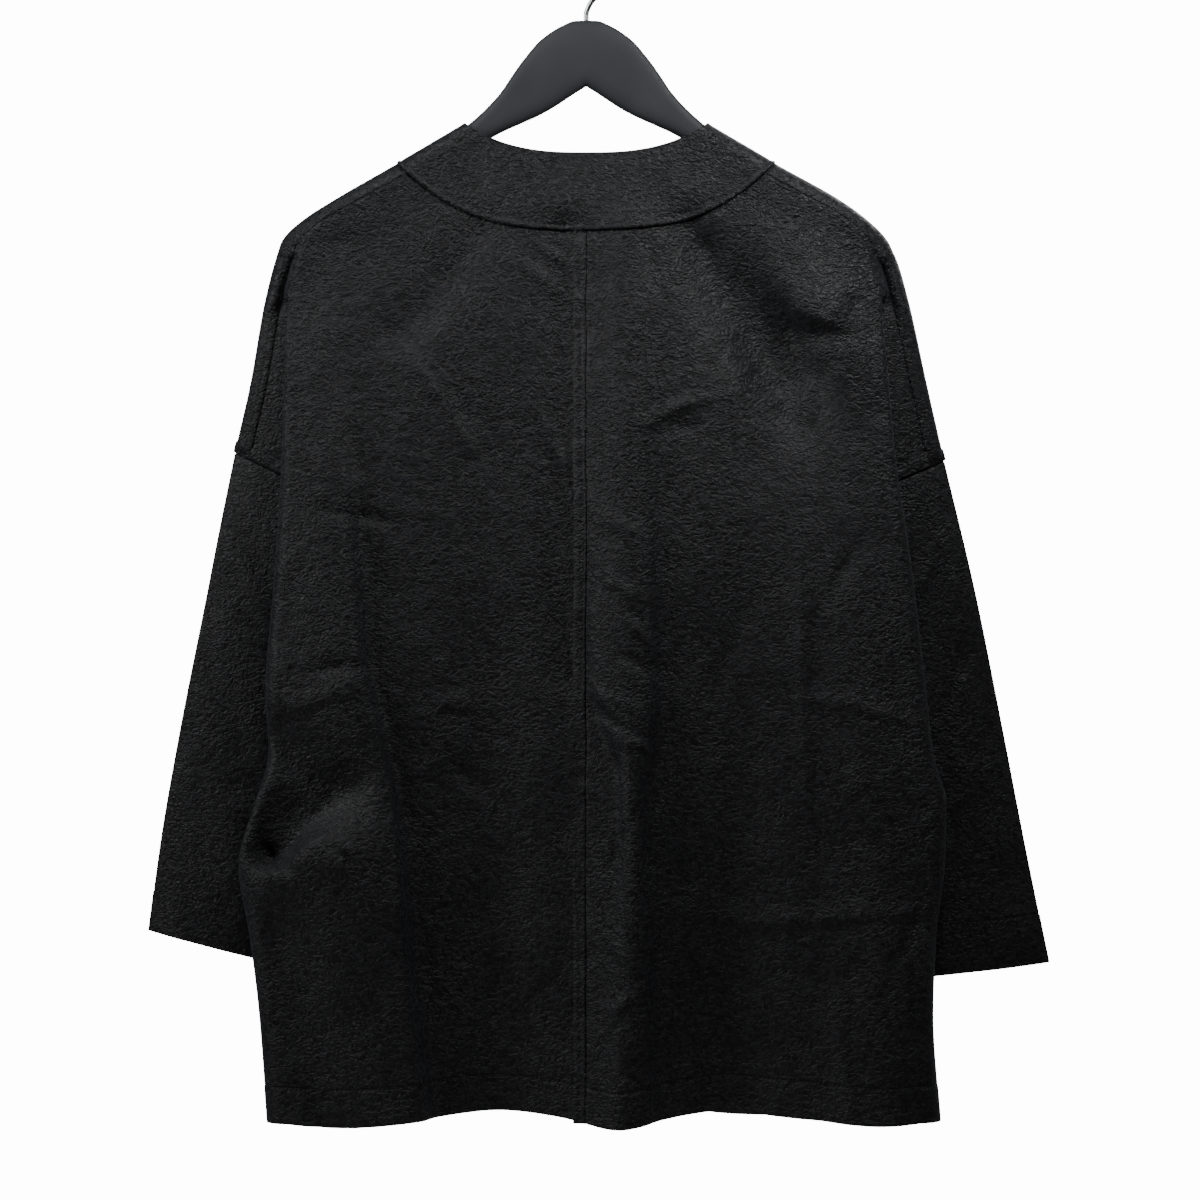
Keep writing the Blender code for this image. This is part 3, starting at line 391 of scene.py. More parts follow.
# The studio, in metres and watts
LIGHTS = [
    # name, place, target, width and height, power
    ("left", (-1.3, -0.5, 0.15), (0.0, 0.0, -0.5), (0.4, 0.4), 6.3),
    ("right", (1.3, -0.6, 0.4), (0.0, 0.0, -0.3), (0.4, 0.4), 0.8),
    ("top_left", (-0.27, -0.3, 0.12), (-0.16, 0.0, -0.25), (0.2, 0.12), 0.85),
    ("top_right", (0.29, -0.3, 0.12), (0.17, 0.0, -0.25), (0.2, 0.12), 1.6),
    ("fill", (0.0, -2.2, -0.2), (0.0, 0.0, -0.5), (1.4, 1.4), 0.1),
    ("right_edge", (1.5, 0.2, -0.1), (0.2, 0.0, -0.45), (0.5, 0.5), 0.7),
    ("behind", (1.0, 1.7, 0.7), (0.0, 0.0, -0.45), (0.9, 0.9), 15.0),
]
ROOM_LIGHT, ROOM_SEEN = 0.008, 14.0
FLOOR_REACH, FLOOR_HEIGHT = 1.4, -1.32
CAMERA_X, CAMERA_DISTANCE, CAMERA_HEIGHT, FRAME_HEIGHT = 0.010, 2.8, -0.477, 0.868


def smooth_step(low, high, value):
    """Rises smoothly from 0 at low to 1 at high."""
    share = np.clip((np.asarray(value, float) - low) / (high - low), 0.0, 1.0)
    return share * share * (3.0 - 2.0 * share)


class Curve:
    """A smooth curve through values at places, without overshoot between them."""

    def __init__(self, places, values):
        self.places = np.asarray(places, float)
        self.values = np.asarray(values, float)
        self.steps = np.diff(self.places)
        slopes = np.diff(self.values) / self.steps
        self.tangents = np.zeros(len(self.values))
        self.tangents[0], self.tangents[-1] = slopes[0], slopes[-1]
        for i in range(1, len(self.values) - 1):
            before, after = slopes[i - 1], slopes[i]
            if before * after > 0.0:
                self.tangents[i] = 2.0 * before * after / (before + after)

    def __call__(self, at):
        at = np.clip(np.asarray(at, float), self.places[0], self.places[-1])
        i = np.clip(np.searchsorted(self.places, at) - 1, 0, len(self.steps) - 1)
        step = self.steps[i]
        t = (at - self.places[i]) / step
        return (
            self.values[i] * (1 + 2 * t) * (1 - t) ** 2
            + self.tangents[i] * step * t * (1 - t) ** 2
            + self.values[i + 1] * t * t * (3 - 2 * t)
            + self.tangents[i + 1] * step * t * t * (t - 1)
        )


def column(table, number):
    """One column of a table."""
    return [row[number] for row in table]


def by_side(table, left, right, places=None):
    """A curve for each side, from two columns of a table."""
    if places is None:
        places = column(table, 0)
    return {LEFT: Curve(places, column(table, left)), RIGHT: Curve(places, column(table, right))}


ROWS = range(len(SHOULDER_LINE))
SHOULDER_WIDTH = by_side(SHOULDER_LINE, 0, 1, ROWS)
SHOULDER_DROP = by_side(SHOULDER_LINE, 2, 3, ROWS)
OVER_HANGER = SHOULDER_LINE[: TIP_ROW + 2]
RIDGE = {side: Curve(column(OVER_HANGER, k), column(OVER_HANGER, k + 2))
         for side, k in ((LEFT, 0), (RIGHT, 1))}
PAST = SHOULDER_LINE[TIP_ROW:]
OUTLINE = {side: Curve(column(PAST, k + 2), column(PAST, k)) for side, k in ((LEFT, 0), (RIGHT, 1))}
EDGE = by_side(BODY_EDGE, 1, 2)
VALLEYS = [Curve(column(VALLEY, 0), column(VALLEY, k)) for k in range(1, 6)]
STAND_OFF = {BACK: Curve(column(FACE_STAND_OFF, 0), column(FACE_STAND_OFF, 1)),
             FRONT: Curve(column(FACE_STAND_OFF, 0), column(FACE_STAND_OFF, 2))}
HANGER = [Curve(column(HANGER_SHAPE, 0), column(HANGER_SHAPE, k)) for k in (1, 2, 3)]


def stack(*parts):
    """Numbers or arrays as the last axis of one array."""
    return np.stack(np.broadcast_arrays(*parts), axis=-1)


def shoulder_inward(side, place):
    """Unit vector in the hanger's plane from the shoulder line into the cloth."""
    ahead, behind = np.minimum(place + 0.05, CUFF_ROW), np.maximum(place - 0.05, 0.0)
    across = SHOULDER_WIDTH[side](ahead) - SHOULDER_WIDTH[side](behind)
    down = SHOULDER_DROP[side](ahead) - SHOULDER_DROP[side](behind)
    length = np.hypot(across, down)
    return -down / length, across / length


def seam_point(side, place):
    """Width and drop of the shoulder seam, which lies behind the shoulder line."""
    place = np.asarray(place, float)
    start = 1.0 - smooth_step(1.0, 1.6, place)
    across, down = shoulder_inward(side, place)
    width = SHOULDER_WIDTH[side](place) + across * SHOULDER_SEAM_BEHIND_RIDGE - 2.0 * start
    drop = SHOULDER_DROP[side](place) + down * SHOULDER_SEAM_BEHIND_RIDGE - 1.2 * start
    return width, drop


def hanger_at(width):
    """Upper edge, lower edge, half thickness and roundness of the hanger at one width."""
    upper, lower, half = [curve(width) for curve in HANGER]
    return upper, lower, half, 0.55 + 0.4 * smooth_step(55.0, 100.0, width)


def shoulder_radius(width):
    """Radius at which the cloth rounds over the hanger."""
    return hanger_at(np.minimum(width, SHOULDER_ROUND_WIDTH))[2] + CLOTH_OVER_HANGER


def clear_of_hanger(width, drop):
    """The least stand-off that keeps cloth clear of the hanger's side."""
    upper, lower, half, roundness = hanger_at(width)
    upright = np.abs(2.0 * (drop - upper) / (lower - upper) - 1.0)
    beside = (width <= HANGER_SHAPE[-1][0]) & (upright < 1.0)
    angle = np.arccos(np.minimum(upright, 1.0) ** (1.0 / roundness))
    return np.where(beside, half * np.sin(angle) ** roundness + CLEAR_OF_HANGER, 0.0)


def beside_line(x, drop, x0, drop0, x1, drop1):
    """Share along a line, distance past its ends, and distance to its right, of places."""
    along = np.array([x1 - x0, drop1 - drop0], float)
    length = np.hypot(*along)
    share = ((x - x0) * along[0] + (drop - drop0) * along[1]) / length**2
    across = ((x - x0) * along[1] - (drop - drop0) * along[0]) / length
    past = np.maximum(np.maximum(share - 1.0, -share), 0.0) * length
    return np.clip(share, 0.0, 1.0), past, across


def fold_height(facing, x, drop):
    """How far the folds stand out at places, in towards the hanger if negative."""
    height = np.zeros(np.broadcast(x, drop).shape)
    for x0, drop0, x1, drop1, width0, width1, out0, out1 in FOLDS[facing]:
        share, past, across = beside_line(x, drop, x0, drop0, x1, drop1)
        half_width = width0 + (width1 - width0) * share
        out = out0 + (out1 - out0) * share
        height += out * np.exp(-(across**2 + past**2) / half_width**2)
    return height


def crease_height(facing, x, drop):
    """How far the creases stand out at places."""
    height = np.zeros(np.broadcast(x, drop).shape)
    for line in CREASES[facing]:
        best = np.zeros_like(height)
        for (x0, drop0, left0, right0, out0), (x1, drop1, left1, right1, out1) in zip(line, line[1:]):
            share, past, across = beside_line(x, drop, x0, drop0, x1, drop1)
            left, right = left0 + (left1 - left0) * share, right0 + (right1 - right0) * share
            half_width = np.where(across > 0.0, right, left)
            out = (out0 + (out1 - out0) * share) * np.exp(-((across / half_width) ** 2) - (past / 12.0) ** 2)
            best = np.where(np.abs(out) > np.abs(best), out, best)
        height += best
    return height


def wrinkles(x, y, size, seed):
    """Soft uneven height from -1 to 1, with bumps of about the given size."""
    table = np.random.default_rng(seed).uniform(-1.0, 1.0, (64, 64))
    u, v = np.asarray(x, float) / size, np.asarray(y, float) / size
    i, j = np.floor(u).astype(int), np.floor(v).astype(int)
    s, t = u - i, v - j
    s, t = s * s * (3 - 2 * s), t * t * (3 - 2 * t)
    corner = lambda a, b: table[(i + a) % 64, (j + b) % 64]
    top = corner(0, 0) * (1 - s) + corner(1, 0) * s
    foot = corner(0, 1) * (1 - s) + corner(1, 1) * s
    return top * (1 - t) + foot * t


def face_depth(side, facing, width, drop):
    """How far the back or the front face of the body stands out."""
    x = side * width
    on_hanger = shoulder_radius(width)
    below = drop - RIDGE[side](np.maximum(width, NECK_WIDTH))
    hangs = smooth_step(20.0, 110.0, below)
    fold = fold_height(facing, x, drop) * smooth_step(12.0, 60.0, below)
    on_arm = smooth_step(60.0, 100.0, width)
    free = STAND_OFF[facing](drop)
    near_top = on_hanger * on_arm + free * (1.0 - on_arm)
    depth = near_top * (1.0 - hangs) + free * hangs + fold
    return np.maximum(depth, np.where(below < 60.0, on_hanger, 4.0))


def hem_drop(facing, x):
    """Drop of the hem, lower where a fold comes forward."""
    return HEM_DROP + HEM_FOLLOWS_FOLD * fold_height(facing, x, np.full(np.shape(x), HEM_DROP))


def lens(share, power=0.7):
    """Height of a flattened tube's layer, from 0 at its fold to 1 in its middle."""
    share = np.clip(share, 0.0, 1.0)
    return (1.0 - (1.0 - share) ** 2) ** power


def sleeve_height(share, along):
    """Half the thickness of the sleeve's tube, from its outer fold (0) to its inner one (1)."""
    half_depth = SLEEVE_DEPTH + (CUFF_DEPTH - SLEEVE_DEPTH) * along
    flat = smooth_step(0.45, 0.78, share) * (1.0 - smooth_step(0.0, FLAT_UNDERARM_LENGTH, along))
    return half_depth * lens(2.0 * np.minimum(share, 1.0 - share)) * (1.0 - flat)


def armhole_point(side, share):
    """Width, stand-off and drop on the armhole, from shoulder line (0) to underarm (1)."""
    top_width, top_drop_ = SHOULDER_WIDTH[side](ARMHOLE_ROW), SHOULDER_DROP[side](ARMHOLE_ROW)
    width = top_width + (UNDERARM_WIDTH - top_width) * share
    drop = top_drop_ + (UNDERARM_DROP - top_drop_) * share
    depth = sleeve_height(share, 0.0)
    return width, np.where(share > 0.5, np.maximum(depth, LAYER_GAP), depth), drop


def shoulder_groove(drop):
    """How far the groove between the body and the sleeve's top is formed, above where it opens."""
    return smooth_step(164.0, 182.0, drop) * (1.0 - VALLEYS[4](drop))


def wrap_depth(side, place, inward):
    """Stand-off of the cloth at a distance in from the shoulder line."""
    width, drop = SHOULDER_WIDTH[side](place), SHOULDER_DROP[side](place)
    radius = shoulder_radius(width)
    on_hanger = radius * np.sqrt(1.0 - (1.0 - np.minimum(inward / radius, 1.0)) ** 2)
    inner, sleeve_depth = VALLEYS[0](drop), VALLEYS[3](drop)
    off_hanger = sleeve_depth * lens(2.0 * inward / (width - inner))
    share = smooth_step(TIP_ROW - 0.5, TIP_ROW + 1.5, place)
    return (on_hanger * (1.0 - share) + off_hanger * share) * (1.0 - 0.5 * shoulder_groove(drop))


def outer_edge(side, facing, level):
    """A panel's outer edge: shoulder seam, then armhole, then side seam."""
    level = np.asarray(level, float)
    first = TIP_ROW + PAST_TIP
    seam_share = SHOULDER_SEAM_BEHIND_RIDGE / (SHOULDER_WIDTH[side](ARMHOLE_ROW) - UNDERARM_WIDTH)
    place = first + (ARMHOLE_ROW - first) * np.clip(level / ARMHOLE_LEVEL, 0.0, 1.0)
    if facing == FRONT:
        on_seam = stack(SHOULDER_WIDTH[side](place), 0.0, SHOULDER_DROP[side](place))
    else:
        width, drop = seam_point(side, place)
        on_seam = stack(width, wrap_depth(side, place, SHOULDER_SEAM_BEHIND_RIDGE), drop)
    share = np.clip((level - ARMHOLE_LEVEL) / (UNDERARM_LEVEL - ARMHOLE_LEVEL), 0.0, 1.0)
    start = seam_share if facing == BACK else 0.0
    on_armhole = stack(*armhole_point(side, start + (1.0 - start) * share**ARMHOLE_EASE))
    share = np.clip((level - UNDERARM_LEVEL) / (1.0 - UNDERARM_LEVEL), 0.0, 1.0)
    width = UNDERARM_WIDTH + (SIDE_SEAM_WIDTH - UNDERARM_WIDTH) * smooth_step(0.0, 0.16, share)
    on_side = stack(width, LAYER_GAP, UNDERARM_DROP + (HEM_DROP - UNDERARM_DROP) * share)
    above_arm, above_underarm = level < ARMHOLE_LEVEL - 1e-6, level < UNDERARM_LEVEL - 1e-6
    lower = np.where(above_underarm[..., None], on_armhole, on_side)
    return np.where(above_arm[..., None], on_seam, lower)


def band_edge(facing, share, across):
    """Width and drop on the neck band, from its centre (share 0) to the shoulder (1)."""
    share = np.asarray(share, float)
    if facing == BACK:
        neck = BACK_NECK_DROP - (BACK_NECK_DROP - NECK_CORNER_DROP) * share**2.8
        edge = BACK_BAND_DROP - (BACK_BAND_DROP - BAND_DROP_AT_SHOULDER) * share**2.9
    else:
        round_off = 1.0 - share**1.8
        neck = NECK_CORNER_DROP + (FRONT_NECK_DROP - NECK_CORNER_DROP) * round_off
        edge = BAND_DROP_AT_SHOULDER + (FRONT_BAND_DROP - BAND_DROP_AT_SHOULDER) * round_off
    width = (NECK_WIDTH + (BAND_WIDTH_AT_SHOULDER - NECK_WIDTH) * across) * share
    return width, neck + (edge - neck) * across


def top_drop(side, facing, width):
    """Drop of a panel's top edge: under the neck band, then along the shoulder seam."""
    width = np.asarray(width, float)
    under_share = np.minimum(width / BAND_WIDTH_AT_SHOULDER, 1.0)
    under_band = band_edge(facing, under_share, 1.0)[1] + BELOW_BAND
    if facing == BACK:
        seam_width, seam_drop = seam_point(side, np.linspace(1.0, TIP_ROW + PAST_TIP, 12))
        return np.where(width >= seam_width[0], Curve(seam_width, seam_drop)(width), under_band)
    return np.where(width >= BAND_WIDTH_AT_SHOULDER, RIDGE[side](width), under_band)


def face_point(side, facing, width, drop):
    """Stand-off on the outside of the body, rounded over the hanger."""
    below = drop - RIDGE[side](np.maximum(width, NECK_WIDTH))
    radius = shoulder_radius(width)
    rounding = np.sqrt(1.0 - (1.0 - np.clip(below / radius, 0.0, 1.0)) ** 2)
    depth = face_depth(side, facing, width, drop) * rounding
    return np.maximum(depth, clear_of_hanger(width, drop))


def top_width(facing, place):
    """Width at a panel's top edge of a column, counted in columns of the solids."""
    if facing == BACK:
        under = np.linspace(0.0, BACK_SEAM_START, CORNER_COLUMN + 1)
    else:
        left_over = np.linspace(1.0, 0.0, CORNER_COLUMN + 1)
        under = (BAND_WIDTH_AT_SHOULDER + BELOW_BAND) * (1.0 - left_over**2.2)
    past = np.linspace(under[-1], EDGE_START, FACE_COLUMNS - CORNER_COLUMN + 1)
    return np.interp(place, range(FACE_COLUMNS + 1), np.concatenate([under, past[1:]]))


def fine_levels(facing, divided=None):
    """The levels of a panel's rows, from its top edge (0) to its hem (1).

    They follow the panel's own steps, or those of the panel named by divided.
    """
    first_steps, upper_steps, armhole_steps, lower_steps = LEVEL_STEPS[divided or facing]
    first = list(FIRST_LEVELS[facing])
    upper = list(np.linspace(first[-1], ARMHOLE_LEVEL, UPPER_ROWS + 1)[1:])
    arm = [ARMHOLE_LEVEL + (UNDERARM_LEVEL - ARMHOLE_LEVEL) * share for share in ARMHOLE_SHARES]
    lower = list(np.linspace(UNDERARM_LEVEL, 1.0, LOWER_ROWS + 1)[1:])
    coarse = first + upper + arm + lower
    steps = [first_steps] * (len(first) - 1) + [upper_steps] * len(upper)
    steps += [armhole_steps] * len(arm) + [lower_steps] * len(lower)
    fine = [coarse[0]]
    for low, high, count in zip(coarse, coarse[1:], steps):
        fine += list(np.linspace(low, high, count + 1)[1:])
    hem = [HEM_LEVEL + step for step in HEM_STEPS]
    return np.array(sorted([level for level in fine if abs(level - HEM_LEVEL) > HEM_CLEARANCE] + hem))


def behind_places():
    """The columns behind the body's edge, counted in columns of the solids."""
    turn = np.arange(1, TURN_COLUMNS * TURN_STEPS + 1) / TURN_STEPS
    back = TURN_COLUMNS + np.arange(1, RETURN_COLUMNS * RETURN_STEPS + 1) / RETURN_STEPS
    start = TURN_COLUMNS + RETURN_COLUMNS
    out = start + np.arange(1, (BEHIND_COLUMNS - start) * OUTER_STEPS + 1) / OUTER_STEPS
    return np.concatenate([turn, back, out])


def panel(side, facing, divided=None):
    """A half panel as rows of widths, stand-offs and drops, from the centre outwards."""
    level = fine_levels(facing, divided)[:, None]
    top = top_drop(side, facing, EDGE_START)
    edge_drop = top + (HEM_DROP - top) * level
    edge = EDGE[side](edge_drop)
    return_depth, opening = VALLEYS[2](edge_drop), VALLEYS[4](edge_drop)
    depth = face_point(side, facing, edge - 4.0, edge_drop)
    radius = np.maximum((depth - return_depth) / 2.0, LEAST_EDGE_RADIUS)
    face_end = edge - radius * opening
    place = np.arange(FACE_COLUMNS * FACE_STEPS + 1)[None, :] / FACE_STEPS
    at_top = top_width(facing, place)
    evened = smooth_step(0.0, 0.35, level)
    width = (at_top / EDGE_START + (place / FACE_COLUMNS - at_top / EDGE_START) * evened) * face_end
    start = top_drop(side, facing, at_top)
    drop = start + (hem_drop(facing, side * width) - start) * level
    face = stack(width, face_point(side, facing, width, drop), drop)
    return np.concatenate([face, behind_edge(side, facing, level, face[:, -1], radius)], axis=1)


def behind_edge(side, facing, level, last, radius):
    """The part of the rows that turns back behind the body's edge, and out again."""
    k = behind_places()[None, :]
    last_width, last_depth, drop = [last[:, i : i + 1] for i in range(3)]
    inner, stand_off, return_depth, sleeve_depth, opening = [curve(drop) for curve in VALLEYS]
    end = outer_edge(side, facing, level[:, 0])
    end_width, end_depth, end_drop = [end[:, i : i + 1] for i in range(3)]
    below_arm = level > UNDERARM_LEVEL - 1e-6
    sleeve_edge = np.where(below_arm, end_width, OUTLINE[side](drop))
    inner = np.where(below_arm, end_width, inner)
    stand_off = np.where(below_arm, LAYER_GAP, stand_off)
    middle = np.where(below_arm, SLEEVE_MIDDLE, (inner + sleeve_edge) / 2.0)
    turn = np.where(below_arm, 0.0, VALLEY_RADIUS)
    angle = math.pi * np.minimum(k, TURN_COLUMNS) / TURN_COLUMNS
    turn_width = last_width + radius * np.sin(angle)
    turn_depth = last_depth - radius * (1.0 - np.cos(angle))
    behind = last_depth - 2.0 * radius
    grows = smooth_step(UNDERARM_LEVEL, UNDERARM_LEVEL + 0.12, level)
    mouth = RETURN_END_AT_ARM + (RETURN_END_BELOW - RETURN_END_AT_ARM) * grows
    mouth_width = inner + np.where(below_arm, mouth, 2.0 * VALLEY_RADIUS)
    share = np.clip((k - TURN_COLUMNS) / RETURN_COLUMNS, 0.0, 1.0)
    back_width = last_width + (mouth_width - last_width) * share
    height = stand_off + turn
    back_depth, mouth_depth = [
        height + (return_depth - height) * lens((width - inner) / (middle - inner), RETURN_POWER)
        for width in (back_width, mouth_width)
    ]
    back_depth = back_depth + (behind - return_depth) * (1.0 - share) ** 2
    first = TURN_COLUMNS + RETURN_COLUMNS
    low_share = np.interp(k - first, range(len(BELOW_ARM_SHARES)), BELOW_ARM_SHARES)
    low_width = mouth_width + (inner - mouth_width) * low_share
    low_depth = lens((low_width - inner) / (middle - inner), RETURN_POWER)
    low_depth = stand_off + (return_depth - stand_off) * low_depth
    steep = STEEP_TURN * smooth_step(UNDERARM_LEVEL - 0.05, UNDERARM_LEVEL - 0.02, level)
    out_start = inner + 2.0 * VALLEY_RADIUS * (1.0 - steep)

    def out_height(width):
        near = stand_off - turn
        rises = near + (sleeve_depth - near) * lens((width - inner) / (middle - inner))
        falls = sleeve_depth * lens((sleeve_edge - width) / (sleeve_edge - middle))
        return np.where(width < middle, rises, falls)

    out_share = np.interp(k - first - 2, range(len(OUTER_SHARES)), OUTER_SHARES)
    out_width = out_start + (end_width - out_start) * out_share
    out_depth = out_height(out_width) + (end_depth - out_height(end_width)) * out_share
    bend = math.pi * (0.5 + np.clip(k - first, 0.0, 2.0) / 2.0)
    ahead = np.where(bend < math.pi, mouth_width, out_start) - inner
    bend_width = inner + ahead * (1.0 + np.cos(bend))
    start_depth = out_height(out_start)
    bend_depth = (mouth_depth + start_depth) / 2.0 + (mouth_depth - start_depth) / 2.0 * np.sin(bend)
    open_width = np.where(k <= first + 2, bend_width, out_width)
    open_depth = np.where(k <= first + 2, bend_depth, out_depth)
    open_width = np.where(below_arm, low_width, open_width)
    open_depth = np.where(below_arm, low_depth, open_depth)
    open_width = np.where(k <= first, back_width, open_width)
    open_depth = np.where(k <= first, back_depth, open_depth)
    open_width = np.where(k <= TURN_COLUMNS, turn_width, open_width)
    open_depth = np.where(k <= TURN_COLUMNS, turn_depth, open_depth)
    share = k / BEHIND_COLUMNS
    closed_width = last_width + (end_width - last_width) * share
    rounding = np.sqrt(1.0 - share**2) if facing == FRONT else 1.0 - share**2
    closed_depth = end_depth + (last_depth - end_depth) * rounding
    width = closed_width + (open_width - closed_width) * opening
    depth = closed_depth + (open_depth - closed_depth) * opening
    top = top_drop(side, facing, EDGE_START)
    first_end = outer_edge(side, facing, np.zeros(1))[0]
    chord_width = EDGE_START + (first_end[0] - EDGE_START) * share
    chord_drop = top + (first_end[2] - top) * share
    curve = top_drop(side, facing, chord_width) - chord_drop
    down = drop + (end_drop - drop) * share + curve * (1.0 - smooth_step(0.0, CURVE_FADES, level))
    return stack(width, depth, down)


def in_metres(side, facing, points):
    """Widths, stand-offs and drops as points of the row frame."""
    width, depth, drop = np.moveaxis(points, -1, 0)
    return stack(side * width, facing * depth, -(HANGER_TOP + drop)) * MM


def add_creases(side, facing, points):
    """Moves a panel's points out by the creases and wrinkles of its face."""
    width, depth, drop = np.moveaxis(points, -1, 0)
    x = side * width
    face = FACE_COLUMNS * FACE_STEPS
    keep = np.ones(points.shape[1])
    keep[face:] = 1.0 - smooth_step(0.0, TURN_COLUMNS * TURN_STEPS / 2.0, np.arange(points.shape[1] - face))
    below = drop - top_drop(side, facing, np.minimum(width, EDGE_START))
    keep = keep[None, :] * smooth_step(2.0, 26.0, below)
    height = crease_height(facing, x, drop)
    height += 0.9 * wrinkles(x, drop * 0.55, 38.0, 11) + 0.45 * wrinkles(x, drop * 0.8, 15.0, 12)
    rough = smooth_step(-0.5, 0.6, wrinkles(x, drop, 110.0, 17))
    height += (0.16 + 0.3 * rough) * wrinkles(x, drop * 1.35, 6.5, 13)
    moved = points.copy()
    moved[..., 1] = depth + height * keep
    near_edge = smooth_step(0.4, 5.0, below) * np.exp(-((below / 12.0) ** 2))
    near_edge = near_edge * (width < BAND_WIDTH_AT_SHOULDER)
    moved[..., 1] += 0.4 * near_edge * wrinkles(x, below * 0.3, 8.0, 14)
    if facing == BACK:
        near_seam = np.exp(-((x / 9.0) ** 2)) * smooth_step(2.0, 10.0, below)
        moved[..., 1] += 0.45 * near_seam * wrinkles(x * 0.35, drop, 7.0, 15)
    return moved


def hem_relief(level):
    """The sewn line above a hem, with the doubled cloth below it."""
    line = -0.4 * np.exp(-(((level - HEM_LEVEL) / 0.0011) ** 2))
    return line + 0.35 * smooth_step(HEM_LEVEL, HEM_LEVEL + 0.003, level)


def rolled_in(side, points):
    """A half panel whose centre edge rolls in, with its seam allowance laid back inside."""
    sway = 0.5 * side * wrinkles(0.0 * points[..., 2], points[..., 2], 26.0, 16)
    points = points.copy()
    points[..., 0] += sway * np.exp(-points[..., 0] / 9.0)
    centre = points[:, :1]
    roll = np.repeat(centre, len(SEAM_ROLL), axis=1)
    roll[..., 0] = np.array(column(SEAM_ROLL, 0))[None, :] + sway[:, :1]
    roll[..., 1] -= np.array(column(SEAM_ROLL, 1))[None, :]
    return np.concatenate([roll, points[:, 1:]], axis=1)


def tucked(edge, facing):
    """Rows of points that carry an edge on, out of sight, under the piece that laps it."""
    size = 1.0 if facing == BACK else 1.0 - smooth_step(90.0, 128.0, edge[:, 0])
    along = np.gradient(edge[:, [0, 2]], axis=0)
    along = along / np.maximum(np.linalg.norm(along, axis=1), 1e-9)[:, None]
    on_arm = smooth_step(90.0, 125.0, edge[:, 0])
    rows = []
    for past, sink in TUCK:
        row = edge.copy()
        row[:, 0] += along[:, 1] * past * size
        row[:, 2] -= along[:, 0] * past * size
        rounding = math.sqrt(1.0 - (past / SHOULDER_SEAM_BEHIND_RIDGE) ** 2)
        row[:, 1] = edge[:, 1] * (1.0 + (rounding - 1.0) * on_arm * size) - sink * size
        rows.append(row)
    return rows


class Sheet:
    """Points and four-sided faces that are gathered into one sheet of cloth."""

    def __init__(self):
        self.points, self.quads, self.reliefs, self.count = [], [], [], 0

    def add_points(self, points, relief=0.0):
        """Adds points and gives their numbers, laid out as they are."""
        shape = points.shape[:-1]
        self.points.append(points.reshape(-1, 3))
        self.reliefs.append(np.broadcast_to(relief, shape).ravel())
        index = self.count + np.arange(int(np.prod(shape))).reshape(shape)
        self.count += index.size
        return index

    def add_grid(self, points, flip=False, closed=False, relief=0.0):
        """Adds a grid of points with its faces, and gives their numbers."""
        index = self.add_points(points, relief)
        rows = np.concatenate([index, index[:, :1]], axis=1) if closed else index
        self.join_rows(rows, flip)
        return index

    def join_rows(self, index, flip):
        """Adds the faces between rows of numbers."""
        quads = quads_between(index)
        self.quads.append(quads[:, ::-1] if flip else quads)

    def add_strip(self, edge, rows, flip):
        """Carries an edge on by rows of points."""
        self.join_rows(np.concatenate([edge[None], [self.add_points(row) for row in rows]]), flip)

    def made(self, name, thickness, material):
        """The finished sheet with its thickness."""
        points, quads = np.concatenate(self.points), np.concatenate(self.quads)
        return shell(name, points, quads, thickness, np.concatenate(self.reliefs), material)


def read_grid(grid, rows, columns):
    """Values of a grid at places between its rows and columns."""
    rows, columns = np.broadcast_arrays(np.asarray(rows, float), np.asarray(columns, float))
    i = np.clip(rows.astype(int), 0, grid.shape[0] - 2)
    j = np.clip(columns.astype(int), 0, grid.shape[1] - 2)
    s, t = (rows - i)[..., None], (columns - j)[..., None]
    top = grid[i, j] * (1 - t) + grid[i, j + 1] * t
    foot = grid[i + 1, j] * (1 - t) + grid[i + 1, j + 1] * t
    return top * (1 - s) + foot * s


STITCH_LINES = []


def sew(grid, rows, columns, flip, lift=CLOTH / 2.0):
    """Notes a line of stitches on a grid of points, at places between its rows and columns."""
    points = grid.reshape(-1, 3)
    quads = quads_of(*grid.shape[:2])
    normals = normals_of(points, quads[:, ::-1] if flip else quads).reshape(grid.shape)
    out = read_grid(normals, rows, columns)
    out = out / np.maximum(np.linalg.norm(out, axis=1), 1e-9)[:, None]
    STITCH_LINES.append((read_grid(grid, rows, columns) + out * (lift - 0.1) * MM, out))


def quads_between(index):
    """Four-sided faces between rows of point numbers."""
    a, b, c, d = index[:-1, :-1], index[:-1, 1:], index[1:, 1:], index[1:, :-1]
    return np.stack([a, d, c, b], axis=-1).reshape(-1, 4)


def quads_of(rows, columns):
    """Four-sided faces of a grid of points."""
    return quads_between(np.arange(rows * columns).reshape(rows, columns))


def normals_of(points, quads):
    """Unit normals at the points of a sheet."""
    a, b, c, d = [points[quads[:, k]] for k in range(4)]
    across = np.cross(c - a, d - b)
    normals = np.zeros_like(points)
    for k in range(4):
        for axis in range(3):
            normals[:, axis] += np.bincount(quads[:, k], across[:, axis], len(points))
    return normals / np.maximum(np.linalg.norm(normals, axis=1), 1e-12)[:, None]


def add_mesh(name, points, quads, material):
    """Makes a smooth mesh object that rides on the one body."""
    data = bpy.data.meshes.new(name)
    data.vertices.add(len(points))
    data.vertices.foreach_set("co", points.astype(np.float32).ravel())
    data.loops.add(quads.size)
    data.loops.foreach_set("vertex_index", quads.astype(np.int32).ravel())
    data.polygons.add(len(quads))
    data.polygons.foreach_set("loop_start", np.arange(0, quads.size, 4, dtype=np.int32))
    data.update(calc_edges=True)
    data.validate()
    data.shade_smooth()
    made = bpy.data.objects.new(name, data)
    bpy.context.scene.collection.objects.link(made)
    made.data.materials.append(material)
    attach(made, "root")
    return made


